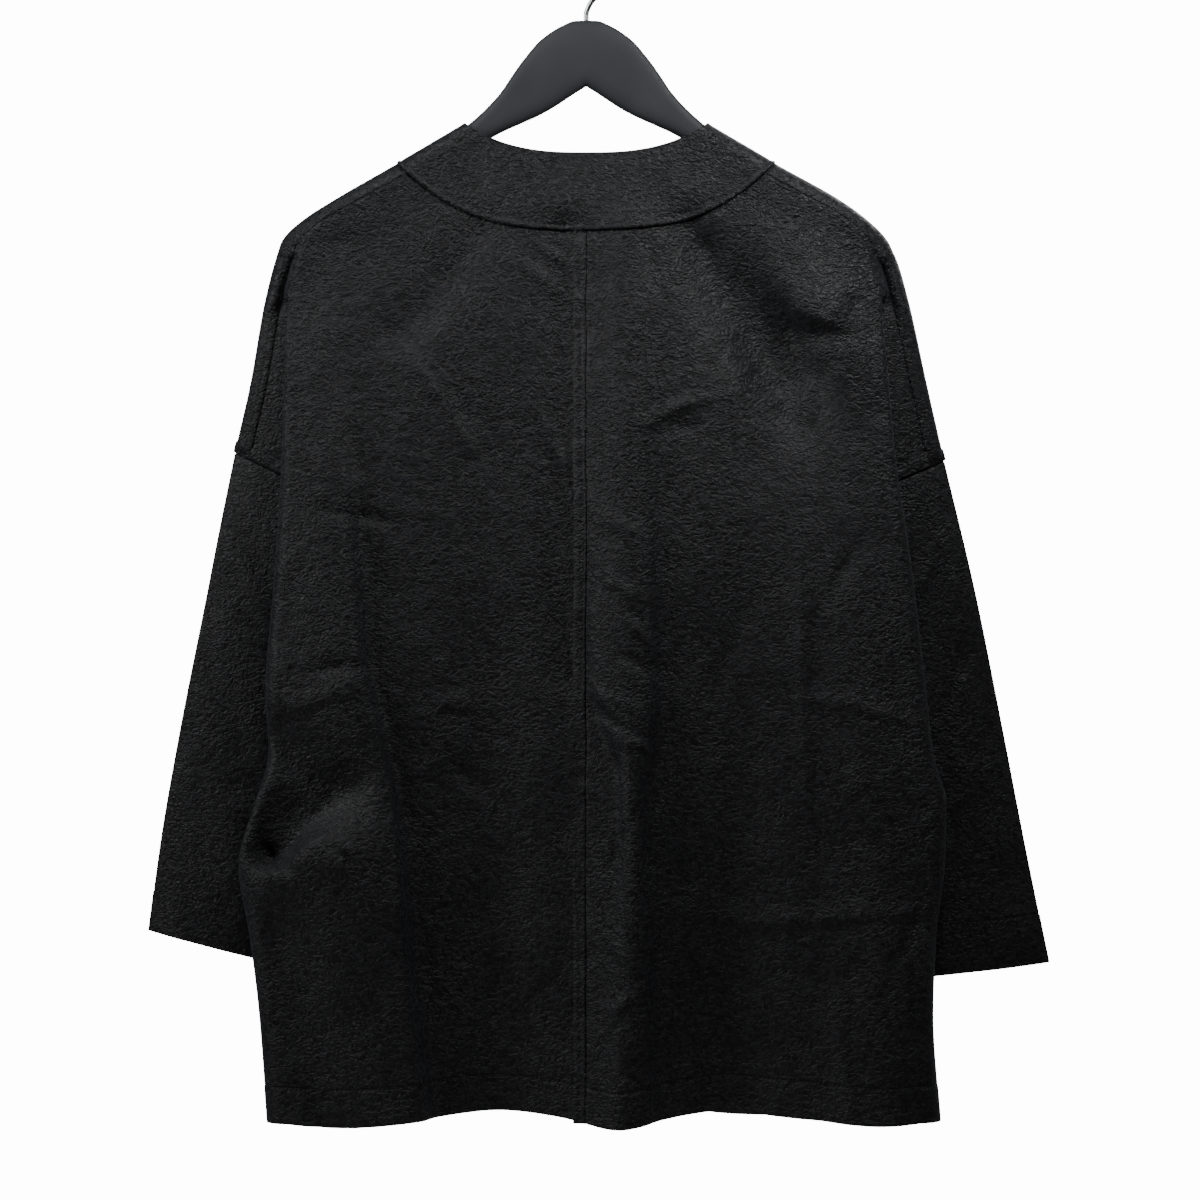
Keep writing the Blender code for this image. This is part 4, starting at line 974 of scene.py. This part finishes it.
def shell(name, points, quads, thickness, relief, material):
    """A sheet with thickness: its outside carries the relief, its inside is plain."""
    normals = normals_of(points, quads)
    half = np.broadcast_to(np.asarray(thickness, float) * MM / 2.0, len(points))[:, None]
    outer = points + normals * (half + np.reshape(relief, (-1, 1)) * MM)
    inner = points - normals * half
    edges = np.concatenate([quads[:, [k, (k + 1) % 4]] for k in range(4)])
    ordered = np.sort(edges, axis=1)
    keys = ordered[:, 0] * len(points) + ordered[:, 1]
    _, index, counts = np.unique(keys, return_index=True, return_counts=True)
    rim = edges[index[counts == 1]]
    count = len(points)
    sides = np.stack([rim[:, 1], rim[:, 0], rim[:, 0] + count, rim[:, 1] + count], axis=1)
    faces = np.concatenate([quads, quads[:, ::-1] + count, sides])
    return add_mesh(name, np.concatenate([outer, inner]), faces, material)


def nodes_of(name):
    """A new material with its nodes, links and main shader."""
    made = bpy.data.materials.new(name)
    made.use_nodes = True
    tree = made.node_tree
    return made, tree.nodes, tree.links, tree.nodes["Principled BSDF"]


def noise(nodes, links, vector, scale, detail=2.0, roughness=0.5, distortion=0.0):
    """A noise texture read at a vector."""
    made = nodes.new("ShaderNodeTexNoise")
    made.inputs["Scale"].default_value = scale
    made.inputs["Detail"].default_value = detail
    made.inputs["Roughness"].default_value = roughness
    made.inputs["Distortion"].default_value = distortion
    links.new(vector, made.inputs["Vector"])
    return made.outputs["Fac"]


def remap(nodes, links, value, low, high, to_low, to_high):
    """A value carried from one range to another."""
    made = nodes.new("ShaderNodeMapRange")
    for name, number in (("From Min", low), ("From Max", high), ("To Min", to_low), ("To Max", to_high)):
        made.inputs[name].default_value = number
    links.new(value, made.inputs["Value"])
    return made.outputs["Result"]


def bumped(nodes, links, height, distance, strength=1.0, before=None):
    """A bump on top of an earlier one."""
    made = nodes.new("ShaderNodeBump")
    made.inputs["Distance"].default_value = distance
    if isinstance(strength, float):
        made.inputs["Strength"].default_value = strength
    else:
        links.new(strength, made.inputs["Strength"])
    links.new(height, made.inputs["Height"])
    if before is not None:
        links.new(before, made.inputs["Normal"])
    return made.outputs["Normal"]


def toned(nodes, links, value, low, dark, high, light):
    """A colour between dark and light by a value."""
    made = nodes.new("ShaderNodeValToRGB")
    for element, place, colour in zip(made.color_ramp.elements, (low, high), (dark, light)):
        element.position = place
        element.color = (*colour, 1.0)
    links.new(value, made.inputs["Fac"])
    return made.outputs["Color"]


def cloth_material():
    """Black crinkled woven cloth with a soft sheen."""
    made, nodes, links, shader = nodes_of("black_crinkled_cloth")
    place = nodes.new("ShaderNodeTexCoord").outputs["Object"]
    squeeze = nodes.new("ShaderNodeMapping")
    squeeze.inputs["Scale"].default_value = (1.0, 1.0, 1.5)
    squeeze.inputs["Rotation"].default_value = (0.0, 0.35, 0.0)
    links.new(place, squeeze.inputs["Vector"])
    squeezed = squeeze.outputs["Vector"]
    pebble = noise(nodes, links, squeezed, 260.0, 1.2, 0.45, 1.1)
    grain = noise(nodes, links, squeezed, 760.0, 1.0, 0.5)
    patches = noise(nodes, links, place, 16.0, 2.0)
    normal = bumped(nodes, links, pebble, 0.0025, remap(nodes, links, patches, 0.36, 0.66, 0.5, 1.0))
    normal = bumped(nodes, links, grain, 0.0004, 1.0, normal)
    links.new(normal, shader.inputs["Normal"])
    # The base colour follows the crinkle's height and is lighter on its raised tops: a painted highlight
    # where the light would catch the crinkle.
    colour = toned(nodes, links, pebble, 0.42, (0.0035, 0.0038, 0.0048), 0.64, (0.021, 0.022, 0.026))
    links.new(colour, shader.inputs["Base Color"])
    shader.inputs["Roughness"].default_value = 0.5
    shader.inputs["Specular IOR Level"].default_value = 0.5
    shader.inputs["Sheen Weight"].default_value = 0.2
    shader.inputs["Sheen Roughness"].default_value = 0.4
    shader.inputs["Sheen Tint"].default_value = (0.62, 0.66, 0.75, 1.0)
    return made


def thread_material():
    """Black sewing thread, a little shinier than the cloth."""
    made, _, _, shader = nodes_of("black_thread")
    shader.inputs["Base Color"].default_value = (0.012, 0.0125, 0.015, 1.0)
    shader.inputs["Roughness"].default_value = 0.5
    shader.inputs["Sheen Weight"].default_value = 0.2
    return made


def hanger_material():
    """Matte charcoal moulding with a fine grain."""
    made, nodes, links, shader = nodes_of("charcoal_moulding")
    place = nodes.new("ShaderNodeTexCoord").outputs["Object"]
    grain = noise(nodes, links, place, 1100.0)
    links.new(bumped(nodes, links, grain, 0.0002, 0.5), shader.inputs["Normal"])
    cloud = noise(nodes, links, place, 22.0)
    colour = toned(nodes, links, cloud, 0.35, (0.044, 0.047, 0.053), 0.7, (0.055, 0.058, 0.064))
    links.new(colour, shader.inputs["Base Color"])
    shader.inputs["Roughness"].default_value = 0.6
    shader.inputs["Specular IOR Level"].default_value = 0.4
    return made


def steel_material():
    """Plated steel wire with faint drawing marks."""
    made, nodes, links, shader = nodes_of("plated_wire")
    place = nodes.new("ShaderNodeTexCoord").outputs["Object"]
    marks = noise(nodes, links, place, 600.0)
    links.new(remap(nodes, links, marks, 0.0, 1.0, 0.16, 0.34), shader.inputs["Roughness"])
    shader.inputs["Base Color"].default_value = (0.62, 0.63, 0.65, 1.0)
    shader.inputs["Metallic"].default_value = 1.0
    return made


def half_panel_area(facing):
    """The area of a half panel's cut, in square metres, with its curved neck taken off."""
    rows = HALF_PANEL_CUT[facing]
    strips = sum((high - low) * (narrow + wide) / 2.0 for (low, narrow), (high, wide) in zip(rows, rows[1:]))
    neck = BAND_WIDTH_AT_SHOULDER * NECK_RISE[facing] * 2.0 / 3.0
    return (strips - neck) * MM * MM


def add_back(cloth):
    """The two halves of the back."""
    level = fine_levels(BACK)
    last = int(np.sum(level <= ARMHOLE_LEVEL + 1e-6))
    meshes = {}
    for side, name in ((LEFT, "left"), (RIGHT, "right")):
        points = rolled_in(side, add_creases(side, BACK, panel(side, BACK)))
        world = in_metres(side, BACK, points)
        sheet = Sheet()
        index = sheet.add_grid(world, flip=side == LEFT, relief=hem_relief(level)[:, None])
        first = len(SEAM_ROLL) - 2
        edge = np.concatenate([index[0, first:], index[1:last, -1]])
        rows = tucked(np.concatenate([points[0, first:], points[1:last, -1]]), BACK)
        sheet.add_strip(edge, [in_metres(side, BACK, row) for row in rows], flip=side == RIGHT)
        made = sheet.made("cloth_back_" + name, CLOTH, cloth)
        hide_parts("back_" + name)
        half_panel_area(BACK)
        meshes[side] = (world.reshape(-1, 3), quads_of(*points.shape[:2]))
        hem_row = float(np.searchsorted(level, HEM_LEVEL))
        sewn = np.arange(len(SEAM_ROLL) - 1, len(SEAM_ROLL) + FACE_COLUMNS * FACE_STEPS + 8.0, 0.5)
        sew(world, hem_row, sewn, flip=side == LEFT)
        if side == LEFT:
            sew_neck_stitches(points, world)
    return meshes


def sew_neck_stitches(points, world):
    """The stitches that hold the seam allowance down at the neck, left of the centre seam."""
    drops = points[:, len(SEAM_ROLL) + 2, 2]
    reach = FACE_COLUMNS * FACE_STEPS
    places = range(len(SEAM_ROLL) - 1, points.shape[1])[:reach]
    steps = np.linspace(0.0, 1.0, 30)
    for (x0, drop0), (x1, drop1) in zip(NECK_STITCHES, NECK_STITCHES[1:]):
        row = np.interp(drop0 + (drop1 - drop0) * steps, drops, range(len(drops)))
        wide = points[np.round(row).astype(int), len(SEAM_ROLL) - 1 :, 0]
        across = [np.interp(-x, widths[:reach], places) for x, widths in zip(x0 + (x1 - x0) * steps, wide)]
        sew(world, row, np.array(across), flip=True)


def seam_edge(facing, points):
    """The edge of a half panel in the front's rows, from the neck band along the seam to the armhole."""
    corner = CORNER_COLUMN * FACE_STEPS
    last = int(np.sum(fine_levels(facing, FRONT) <= ARMHOLE_LEVEL + 1e-6))
    return np.concatenate([points[0, corner:], points[1:last, -1]])


def add_front(cloth):
    """The front in one piece, with the strips that turn over the shoulders."""
    halves = {side: add_creases(side, FRONT, panel(side, FRONT)) for side in (LEFT, RIGHT)}
    level = fine_levels(FRONT)
    columns = halves[RIGHT].shape[1]
    world = {side: in_metres(side, FRONT, halves[side]) for side in halves}
    whole = np.concatenate([world[LEFT][:, :0:-1], world[RIGHT]], axis=1)
    sheet = Sheet()
    index = sheet.add_grid(whole, flip=True, relief=hem_relief(level)[:, None])
    corner = CORNER_COLUMN * FACE_STEPS
    last = int(np.sum(level <= ARMHOLE_LEVEL + 1e-6))
    for side in (LEFT, RIGHT):
        ridge = seam_edge(FRONT, halves[side])
        seam = seam_edge(BACK, panel(side, BACK, FRONT))
        half = index[:, columns - 1 :] if side == RIGHT else index[:, columns - 1 :: -1]
        rows = []
        for step in range(1, STRIP_STEPS + 2):
            share = min(step / STRIP_STEPS, 1.0)
            strip = ridge + (seam - ridge) * share
            depth = seam[:, 1] * math.sqrt(1.0 - (1.0 - share) ** 2)
            strip[:, 1] = np.maximum(depth, clear_of_hanger(strip[:, 0], strip[:, 2]))
            strip[:, 1] += 4.5 * shoulder_groove(strip[:, 2]) * math.sin(math.pi * share)
            strip[:, 1] += 0.45 * smooth_step(0.55, 0.95, share) - 0.35 * (step == STRIP_STEPS + 1)
            strip[:, 2] += 0.45 * (step == STRIP_STEPS + 1)
            rows.append(in_metres(side, BACK, strip))
        edge = np.concatenate([half[0, corner:], half[1:last, -1]])
        sheet.add_strip(edge, rows, flip=side == LEFT)
        sew(np.stack(rows), 4.6, np.arange(2.0, rows[0].shape[0] - 1.0, 0.5), flip=side == LEFT)
        rows = [in_metres(side, FRONT, row) for row in tucked(halves[side][0, : corner + 1], FRONT)]
        sheet.add_strip(half[0, : corner + 1], rows, flip=side == LEFT)
    made = sheet.made("cloth_front", CLOTH, cloth)
    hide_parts("front")
    2.0 * half_panel_area(FRONT)
    hem_row = float(np.searchsorted(level, HEM_LEVEL))
    middle, reach = columns - 1, FACE_COLUMNS * FACE_STEPS + 8
    sew(whole, hem_row, np.arange(middle - reach, middle + reach, 0.5), flip=True)
    return {side: (world[side].reshape(-1, 3), quads_of(*world[side].shape[:2])) for side in world}


def add_bands(cloth):
    """The neck band, a back and a front piece that meet on the shoulder line."""
    for facing, name in ((BACK, "back"), (FRONT, "front")):
        half = 1.0 - np.linspace(1.0, 0.0, 70) ** 1.3
        shares = np.concatenate([-half[:0:-1], half])
        edges = [0.0, 0.006, 0.014, 0.03], [0.965, 0.985, 1.0, 1.012, 1.02]
        across = np.concatenate([edges[0], np.linspace(0.06, 0.94, 20), edges[1]])
        share, over = np.abs(shares)[None, :], across[:, None]
        width, drop = band_edge(facing, share, over)
        left, right = [face_point(side, facing, width, drop) for side in (LEFT, RIGHT)]
        depth = np.where(shares[None, :] < 0.0, left, right) + BAND_PROUD
        depth = np.maximum(depth, 0.0)
        depth += 0.5 * smooth_step(0.95, 1.0, over)
        x = np.sign(shares)[None, :] * width
        if facing == BACK:
            swell = np.exp(-(((x + 17.0) / 12.0) ** 2) - ((drop - 142.0) / 20.0) ** 2)
            depth += 2.2 * swell * (1.0 - smooth_step(0.9, 1.0, over))
        inner = smooth_step(0.02, 0.2, over) * (1 - smooth_step(0.8, 0.97, over))
        depth += 0.5 * wrinkles(x, drop, 26.0, 21) * inner
        points = stack(x, facing * depth, -(HANGER_TOP + drop)) * MM
        rows, columns = points.shape[:2]
        quads = quads_of(rows, columns)
        if facing == FRONT:
            quads = quads[:, ::-1]
        ridge = np.zeros((rows, columns))
        for height, centre, width in BAND_RIDGES:
            ridge += height * np.exp(-(((over - centre) * BAND_WIDTH / width) ** 2))
        made = shell("cloth_band_" + name, points.reshape(-1, 3), quads, BAND_CLOTH, ridge.ravel(), cloth)
        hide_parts("band_" + name)


def sleeve_rows():
    """Places along a sleeve, from its tucked top to its cuff, and the place of its hem line."""
    line = 1.0 - CUFF_HEM / SLEEVE_LENGTH
    clear = CUFF_HEM_CLEARANCE / SLEEVE_LENGTH
    rows = [row for row in np.linspace(0.015, 1.0, 165) if abs(row - line) > clear]
    rows += [line + step / SLEEVE_LENGTH for step in CUFF_HEM_STEPS]
    return np.array([-0.0125, -0.007, -0.002, 0.0015, 0.004, 0.0065, 0.0095] + sorted(rows)), line


def add_sleeves(cloth, meshes):
    """The two sleeves, tubes that hang from the armholes to the cuffs."""
    rows, line = sleeve_rows()
    for side, name in ((LEFT, "left"), (RIGHT, "right")):
        turn = (np.arange(SLEEVE_COLUMNS) * 2.0 * math.pi / SLEEVE_COLUMNS)[None, :]
        share = (1.0 - np.cos(turn)) / 2.0
        shows = 1.0 - smooth_step(0.3, 0.5, share)
        along = rows[:, None] * np.where(rows[:, None] < 0.0, 0.03 + 0.97 * shows, 1.0)
        under = (1.0 - smooth_step(0.0015, 0.0095, rows))[:, None] * shows
        place = ARMHOLE_ROW + (CUFF_ROW - ARMHOLE_ROW) * along
        outer_w = SHOULDER_WIDTH[side](place) - 1.1 * under
        outer_d = SHOULDER_DROP[side](place) + 2.0 * SEAM_GAP * (1.0 - along)
        inner_w = UNDERARM_WIDTH + 3.0 + (CUFF_INNER_WIDTH[side] - UNDERARM_WIDTH - 3.0) * along
        inner_d = UNDERARM_DROP + 1.5 + (CUFF_INNER_DROP[side] - UNDERARM_DROP - 1.5) * along
        width = outer_w + (inner_w - outer_w) * share
        drop = outer_d + (inner_d - outer_d) * share
        depth = sleeve_height(share, along)
        inside = (share > 1e-6) & (share < 1.0 - 1e-6)
        depth = np.where(inside, np.maximum(depth, LAYER_GAP), depth)
        sign = np.where(turn < math.pi, BACK, FRONT)
        x = side * width
        wavy = 1.1 * wrinkles(x * 1.4, drop * 0.4 + sign * 90.0, 30.0, 31)
        wavy = wavy + 0.4 * wrinkles(x, drop * 0.8, 12.0, 32)
        for x0, drop0, x1, drop1, out in SLEEVE_CREASES:
            _, past, across = beside_line(width, drop, x0, drop0, x1, drop1)
            wavy = wavy + out * np.exp(-((across / 7.0) ** 2) - (past / 14.0) ** 2)
        depth = depth + wavy * np.clip((depth - 1.0) / 6.0, 0.0, 1.0) * smooth_step(0.0, 0.06, along)
        depth = np.where(inside, np.maximum(depth - 1.25 * under, 0.4), 0.0)
        depth = depth + sign * BACK * SLEEVE_TURN[side] * (1.0 - share) * smooth_step(0.01, 0.22, along)
        points = in_metres(side, sign, stack(width, depth, drop))
        past_line = (along - line) * SLEEVE_LENGTH
        relief = -0.4 * np.exp(-((past_line / 0.8) ** 2))
        relief = relief + 0.35 * smooth_step(0.0, 1.2, past_line) + np.zeros_like(turn)
        sheet = Sheet()
        sheet.add_grid(points, flip=side == RIGHT, closed=True, relief=relief)
        welt = welt_grid(side, meshes)
        sheet.add_grid(welt, flip=side == LEFT)
        made = sheet.made("cloth_sleeve_" + name, CLOTH, cloth)
        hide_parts("sleeve_" + name)
        hem_row = float(np.argmin(np.abs(rows - line)))
        sew(points, hem_row, np.arange(0.5, SLEEVE_COLUMNS - 1.5, 0.25), flip=side == RIGHT)
        sew(welt, 5.0, np.arange(1.0, welt.shape[1] - 2.0, 0.5), flip=side == LEFT)


def welt_grid(side, meshes):
    """The turned-in seam allowance along an armhole, sewn down as a low welt."""
    trees = {}
    for facing in (BACK, FRONT):
        points, quads = meshes[facing][side]
        trees[facing] = BVHTree.FromPolygons(points.tolist(), quads.tolist())
    away_from_top = np.linspace(0.02, 0.46, 60)
    shares = np.concatenate([-away_from_top[::-1], np.linspace(-0.014, 0.014, 5), away_from_top])
    top_width, top_drop_ = float(SHOULDER_WIDTH[side](ARMHOLE_ROW)), float(SHOULDER_DROP[side](ARMHOLE_ROW))
    across = np.array([UNDERARM_WIDTH - top_width, UNDERARM_DROP - top_drop_])
    across /= np.linalg.norm(across)
    up_arm = np.array([-across[1], across[0]])
    above = ARMHOLE_ROW - 0.3
    up_edge = np.array([SHOULDER_WIDTH[side](above) - top_width, SHOULDER_DROP[side](above) - top_drop_])
    up_edge /= np.linalg.norm(up_edge)
    grid = []
    for away, out in WELT:
        row = []
        for share in shares:
            facing = BACK if share < 0.0 else FRONT
            width, depth, drop = armhole_point(side, abs(share))
            blend = float(smooth_step(0.0, 0.25, abs(share)))
            up = up_edge * (1.0 - blend) + up_arm * blend
            width, drop = width + up[0] * away, drop + up[1] * away
            start = Vector((side * width, 0.0, -(HANGER_TOP + drop))) * MM
            hit = trees[facing].ray_cast(start, Vector((0.0, facing, 0.0)), 0.03)[0]
            if hit is not None and away > 0.5:
                depth = abs(hit.y) / MM
            edge = 1.0 - float(smooth_step(0.0, 0.05, abs(share)))
            depth = (float(depth) + out) * (1.0 - edge)
            row.append((side * (width + edge * out), facing * depth, -(HANGER_TOP + drop)))
        grid.append(row)
    return np.array(grid) * MM


def read_line(runs, values, places):
    """Values along a line at places that are counted in its length."""
    return np.stack([np.interp(places, runs, values[:, k]) for k in range(3)], axis=1)


def add_stitches(thread):
    """All the stitches, as short raised runs of thread."""
    points, quads = [], []
    total = 0
    for line, out in STITCH_LINES:
        runs = np.concatenate([[0.0], np.cumsum(np.linalg.norm(np.diff(line, axis=0), axis=1))])
        starts = np.arange(0.0, runs[-1] - STITCH_LENGTH * MM, STITCH_PITCH * MM)
        if not len(starts):
            continue
        head = read_line(runs, line, starts)
        foot = read_line(runs, line, starts + STITCH_LENGTH * MM)
        up = read_line(runs, out, starts)
        along = foot - head
        along /= np.maximum(np.linalg.norm(along, axis=1), 1e-9)[:, None]
        sideways = np.cross(up, along) * STITCH_WIDTH * MM / 2.0
        rise = up * 0.36 * MM
        inset = along * 0.35 * MM
        corners = [head - sideways, head + sideways, foot + sideways, foot - sideways]
        tops = [head - sideways * 0.5 + inset + rise, head + sideways * 0.5 + inset + rise,
                foot + sideways * 0.5 - inset + rise, foot - sideways * 0.5 - inset + rise]
        block = np.stack(corners + tops, axis=1)
        faces = np.array([(0, 1, 2, 3), (7, 6, 5, 4), (0, 4, 5, 1), (1, 5, 6, 2), (2, 6, 7, 3), (3, 7, 4, 0)])
        count = len(starts)
        quads.append((total + 8 * np.arange(count)[:, None, None] + faces[None]).reshape(-1, 4))
        points.append(block.reshape(-1, 3))
        total += 8 * count
    add_mesh("stitches", np.concatenate(points), np.concatenate(quads), thread)


def add_hanger(moulding, steel):
    """The moulded hanger and its wire hook."""
    widths = np.linspace(-HANGER_SHAPE[-1][0], HANGER_SHAPE[-1][0], 241)
    upper, lower, half, roundness = hanger_at(np.abs(widths)[:, None])
    angle = 2.0 * math.pi * (np.arange(48) + 0.5)[None, :] / 48
    across = np.copysign(np.abs(np.sin(angle)) ** roundness, np.sin(angle))
    upright = np.copysign(np.abs(np.cos(angle)) ** roundness, np.cos(angle))
    drop = (upper + lower) / 2.0 - upright * (lower - upper) / 2.0
    points = stack(widths[:, None], across * half, -(HANGER_TOP + drop)) * MM
    rows, columns = points.shape[:2]
    index = np.arange(rows * columns).reshape(rows, columns)
    around = np.stack([index[:-1, -1], index[1:, -1], index[1:, 0], index[:-1, 0]], axis=-1)
    quads = np.concatenate([quads_of(rows, columns), around])
    made = add_mesh("hanger_body", points.reshape(-1, 3), quads, moulding)
    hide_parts("hanger")
    curve = bpy.data.curves.new("hook_wire", "CURVE")
    curve.dimensions = "3D"
    line = curve.splines.new("POLY")
    centre = WIRE_RADIUS - HOOK_RADIUS
    route = [(0.0, -HANGER_TOP - STEM_IN_HANGER), (0.0, -HANGER_TOP - 8.0), (0.0, -HANGER_TOP + 4.0)]
    route += [(2.2, -47.0), (8.4, -39.5)]
    for degrees in range(-38, 206, 18):
        turn = math.radians(degrees)
        route.append((HOOK_RADIUS * math.cos(turn), centre + HOOK_RADIUS * math.sin(turn)))
    route = np.array(route)
    runs = np.concatenate([[0.0], np.cumsum(np.linalg.norm(np.diff(route, axis=0), axis=1))])
    at = np.linspace(0.0, runs[-1], 120)
    fine = np.stack([Curve(runs, route[:, 0])(at), Curve(runs, route[:, 1])(at)], axis=1)
    line.points.add(len(fine) - 1)
    for point, (x, z) in zip(line.points, fine):
        point.co = (x * MM, 0.0, z * MM, 1.0)
    curve.bevel_depth = WIRE_RADIUS * MM
    curve.bevel_resolution = 6
    curve.use_fill_caps = True
    hook = bpy.data.objects.new("hook_wire", curve)
    bpy.context.scene.collection.objects.link(hook)
    hook.data.materials.append(steel)
    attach(hook, "root")
    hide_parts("hook")


def add_light(name, place, target, size, power):
    """A soft rectangular light that points at a target."""
    data = bpy.data.lights.new(name, "AREA")
    data.shape = "RECTANGLE"
    data.size, data.size_y = size
    data.energy = power
    made = bpy.data.objects.new(name, data)
    bpy.context.scene.collection.objects.link(made)
    made.location = place
    toward = Vector(target) - Vector(place)
    made.rotation_euler = toward.to_track_quat("-Z", "Y").to_euler()


def add_studio():
    """Pale floor, white surroundings, soft lights and the camera."""
    scene = bpy.context.scene
    floor_data = bpy.data.meshes.new("floor")
    around = ((-1, -1), (1, -1), (1, 1), (-1, 1))
    corners = [(x * FLOOR_REACH, y * FLOOR_REACH, FLOOR_HEIGHT) for x, y in around]
    floor_data.from_pydata(corners, [], [(0, 1, 2, 3)])
    floor = bpy.data.objects.new("floor", floor_data)
    scene.collection.objects.link(floor)
    pale, _, _, shader = nodes_of("pale_floor")
    shader.inputs["Base Color"].default_value = (0.85, 0.85, 0.85, 1.0)
    shader.inputs["Roughness"].default_value = 0.8
    floor.data.materials.append(pale)
    floor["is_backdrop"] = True
    world = bpy.data.worlds.new("white_room")
    scene.world = world
    world.use_nodes = True
    nodes, links = world.node_tree.nodes, world.node_tree.links
    lighting = nodes["Background"]
    lighting.inputs["Color"].default_value = (1.0, 1.0, 1.0, 1.0)
    lighting.inputs["Strength"].default_value = ROOM_LIGHT
    seen = nodes.new("ShaderNodeBackground")
    seen.inputs["Color"].default_value = (1.0, 1.0, 1.0, 1.0)
    seen.inputs["Strength"].default_value = ROOM_SEEN
    rays = nodes.new("ShaderNodeLightPath")
    mix = nodes.new("ShaderNodeMixShader")
    links.new(rays.outputs["Is Camera Ray"], mix.inputs[0])
    links.new(lighting.outputs["Background"], mix.inputs[1])
    links.new(seen.outputs["Background"], mix.inputs[2])
    links.new(mix.outputs["Shader"], nodes["World Output"].inputs["Surface"])
    for light in LIGHTS:
        add_light(*light)
    data = bpy.data.cameras.new("camera")
    data.lens = 50.0
    data.sensor_width = 2.0 * data.lens * (FRAME_HEIGHT / 2.0) / CAMERA_DISTANCE
    camera = bpy.data.objects.new("camera", data)
    scene.collection.objects.link(camera)
    camera.location = (CAMERA_X, -CAMERA_DISTANCE, CAMERA_HEIGHT)
    camera.rotation_euler = (math.pi / 2.0, 0.0, 0.0)
    scene.camera = camera


cloth = cloth_material()
meshes = {BACK: add_back(cloth), FRONT: add_front(cloth)}
add_bands(cloth)
add_sleeves(cloth, meshes)
add_stitches(thread_material())
add_hanger(hanger_material(), steel_material())
add_studio()
visual_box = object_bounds()
boxes = {"cad": [list(corner) for corner in cad_box], "visual": [list(corner) for corner in visual_box]}
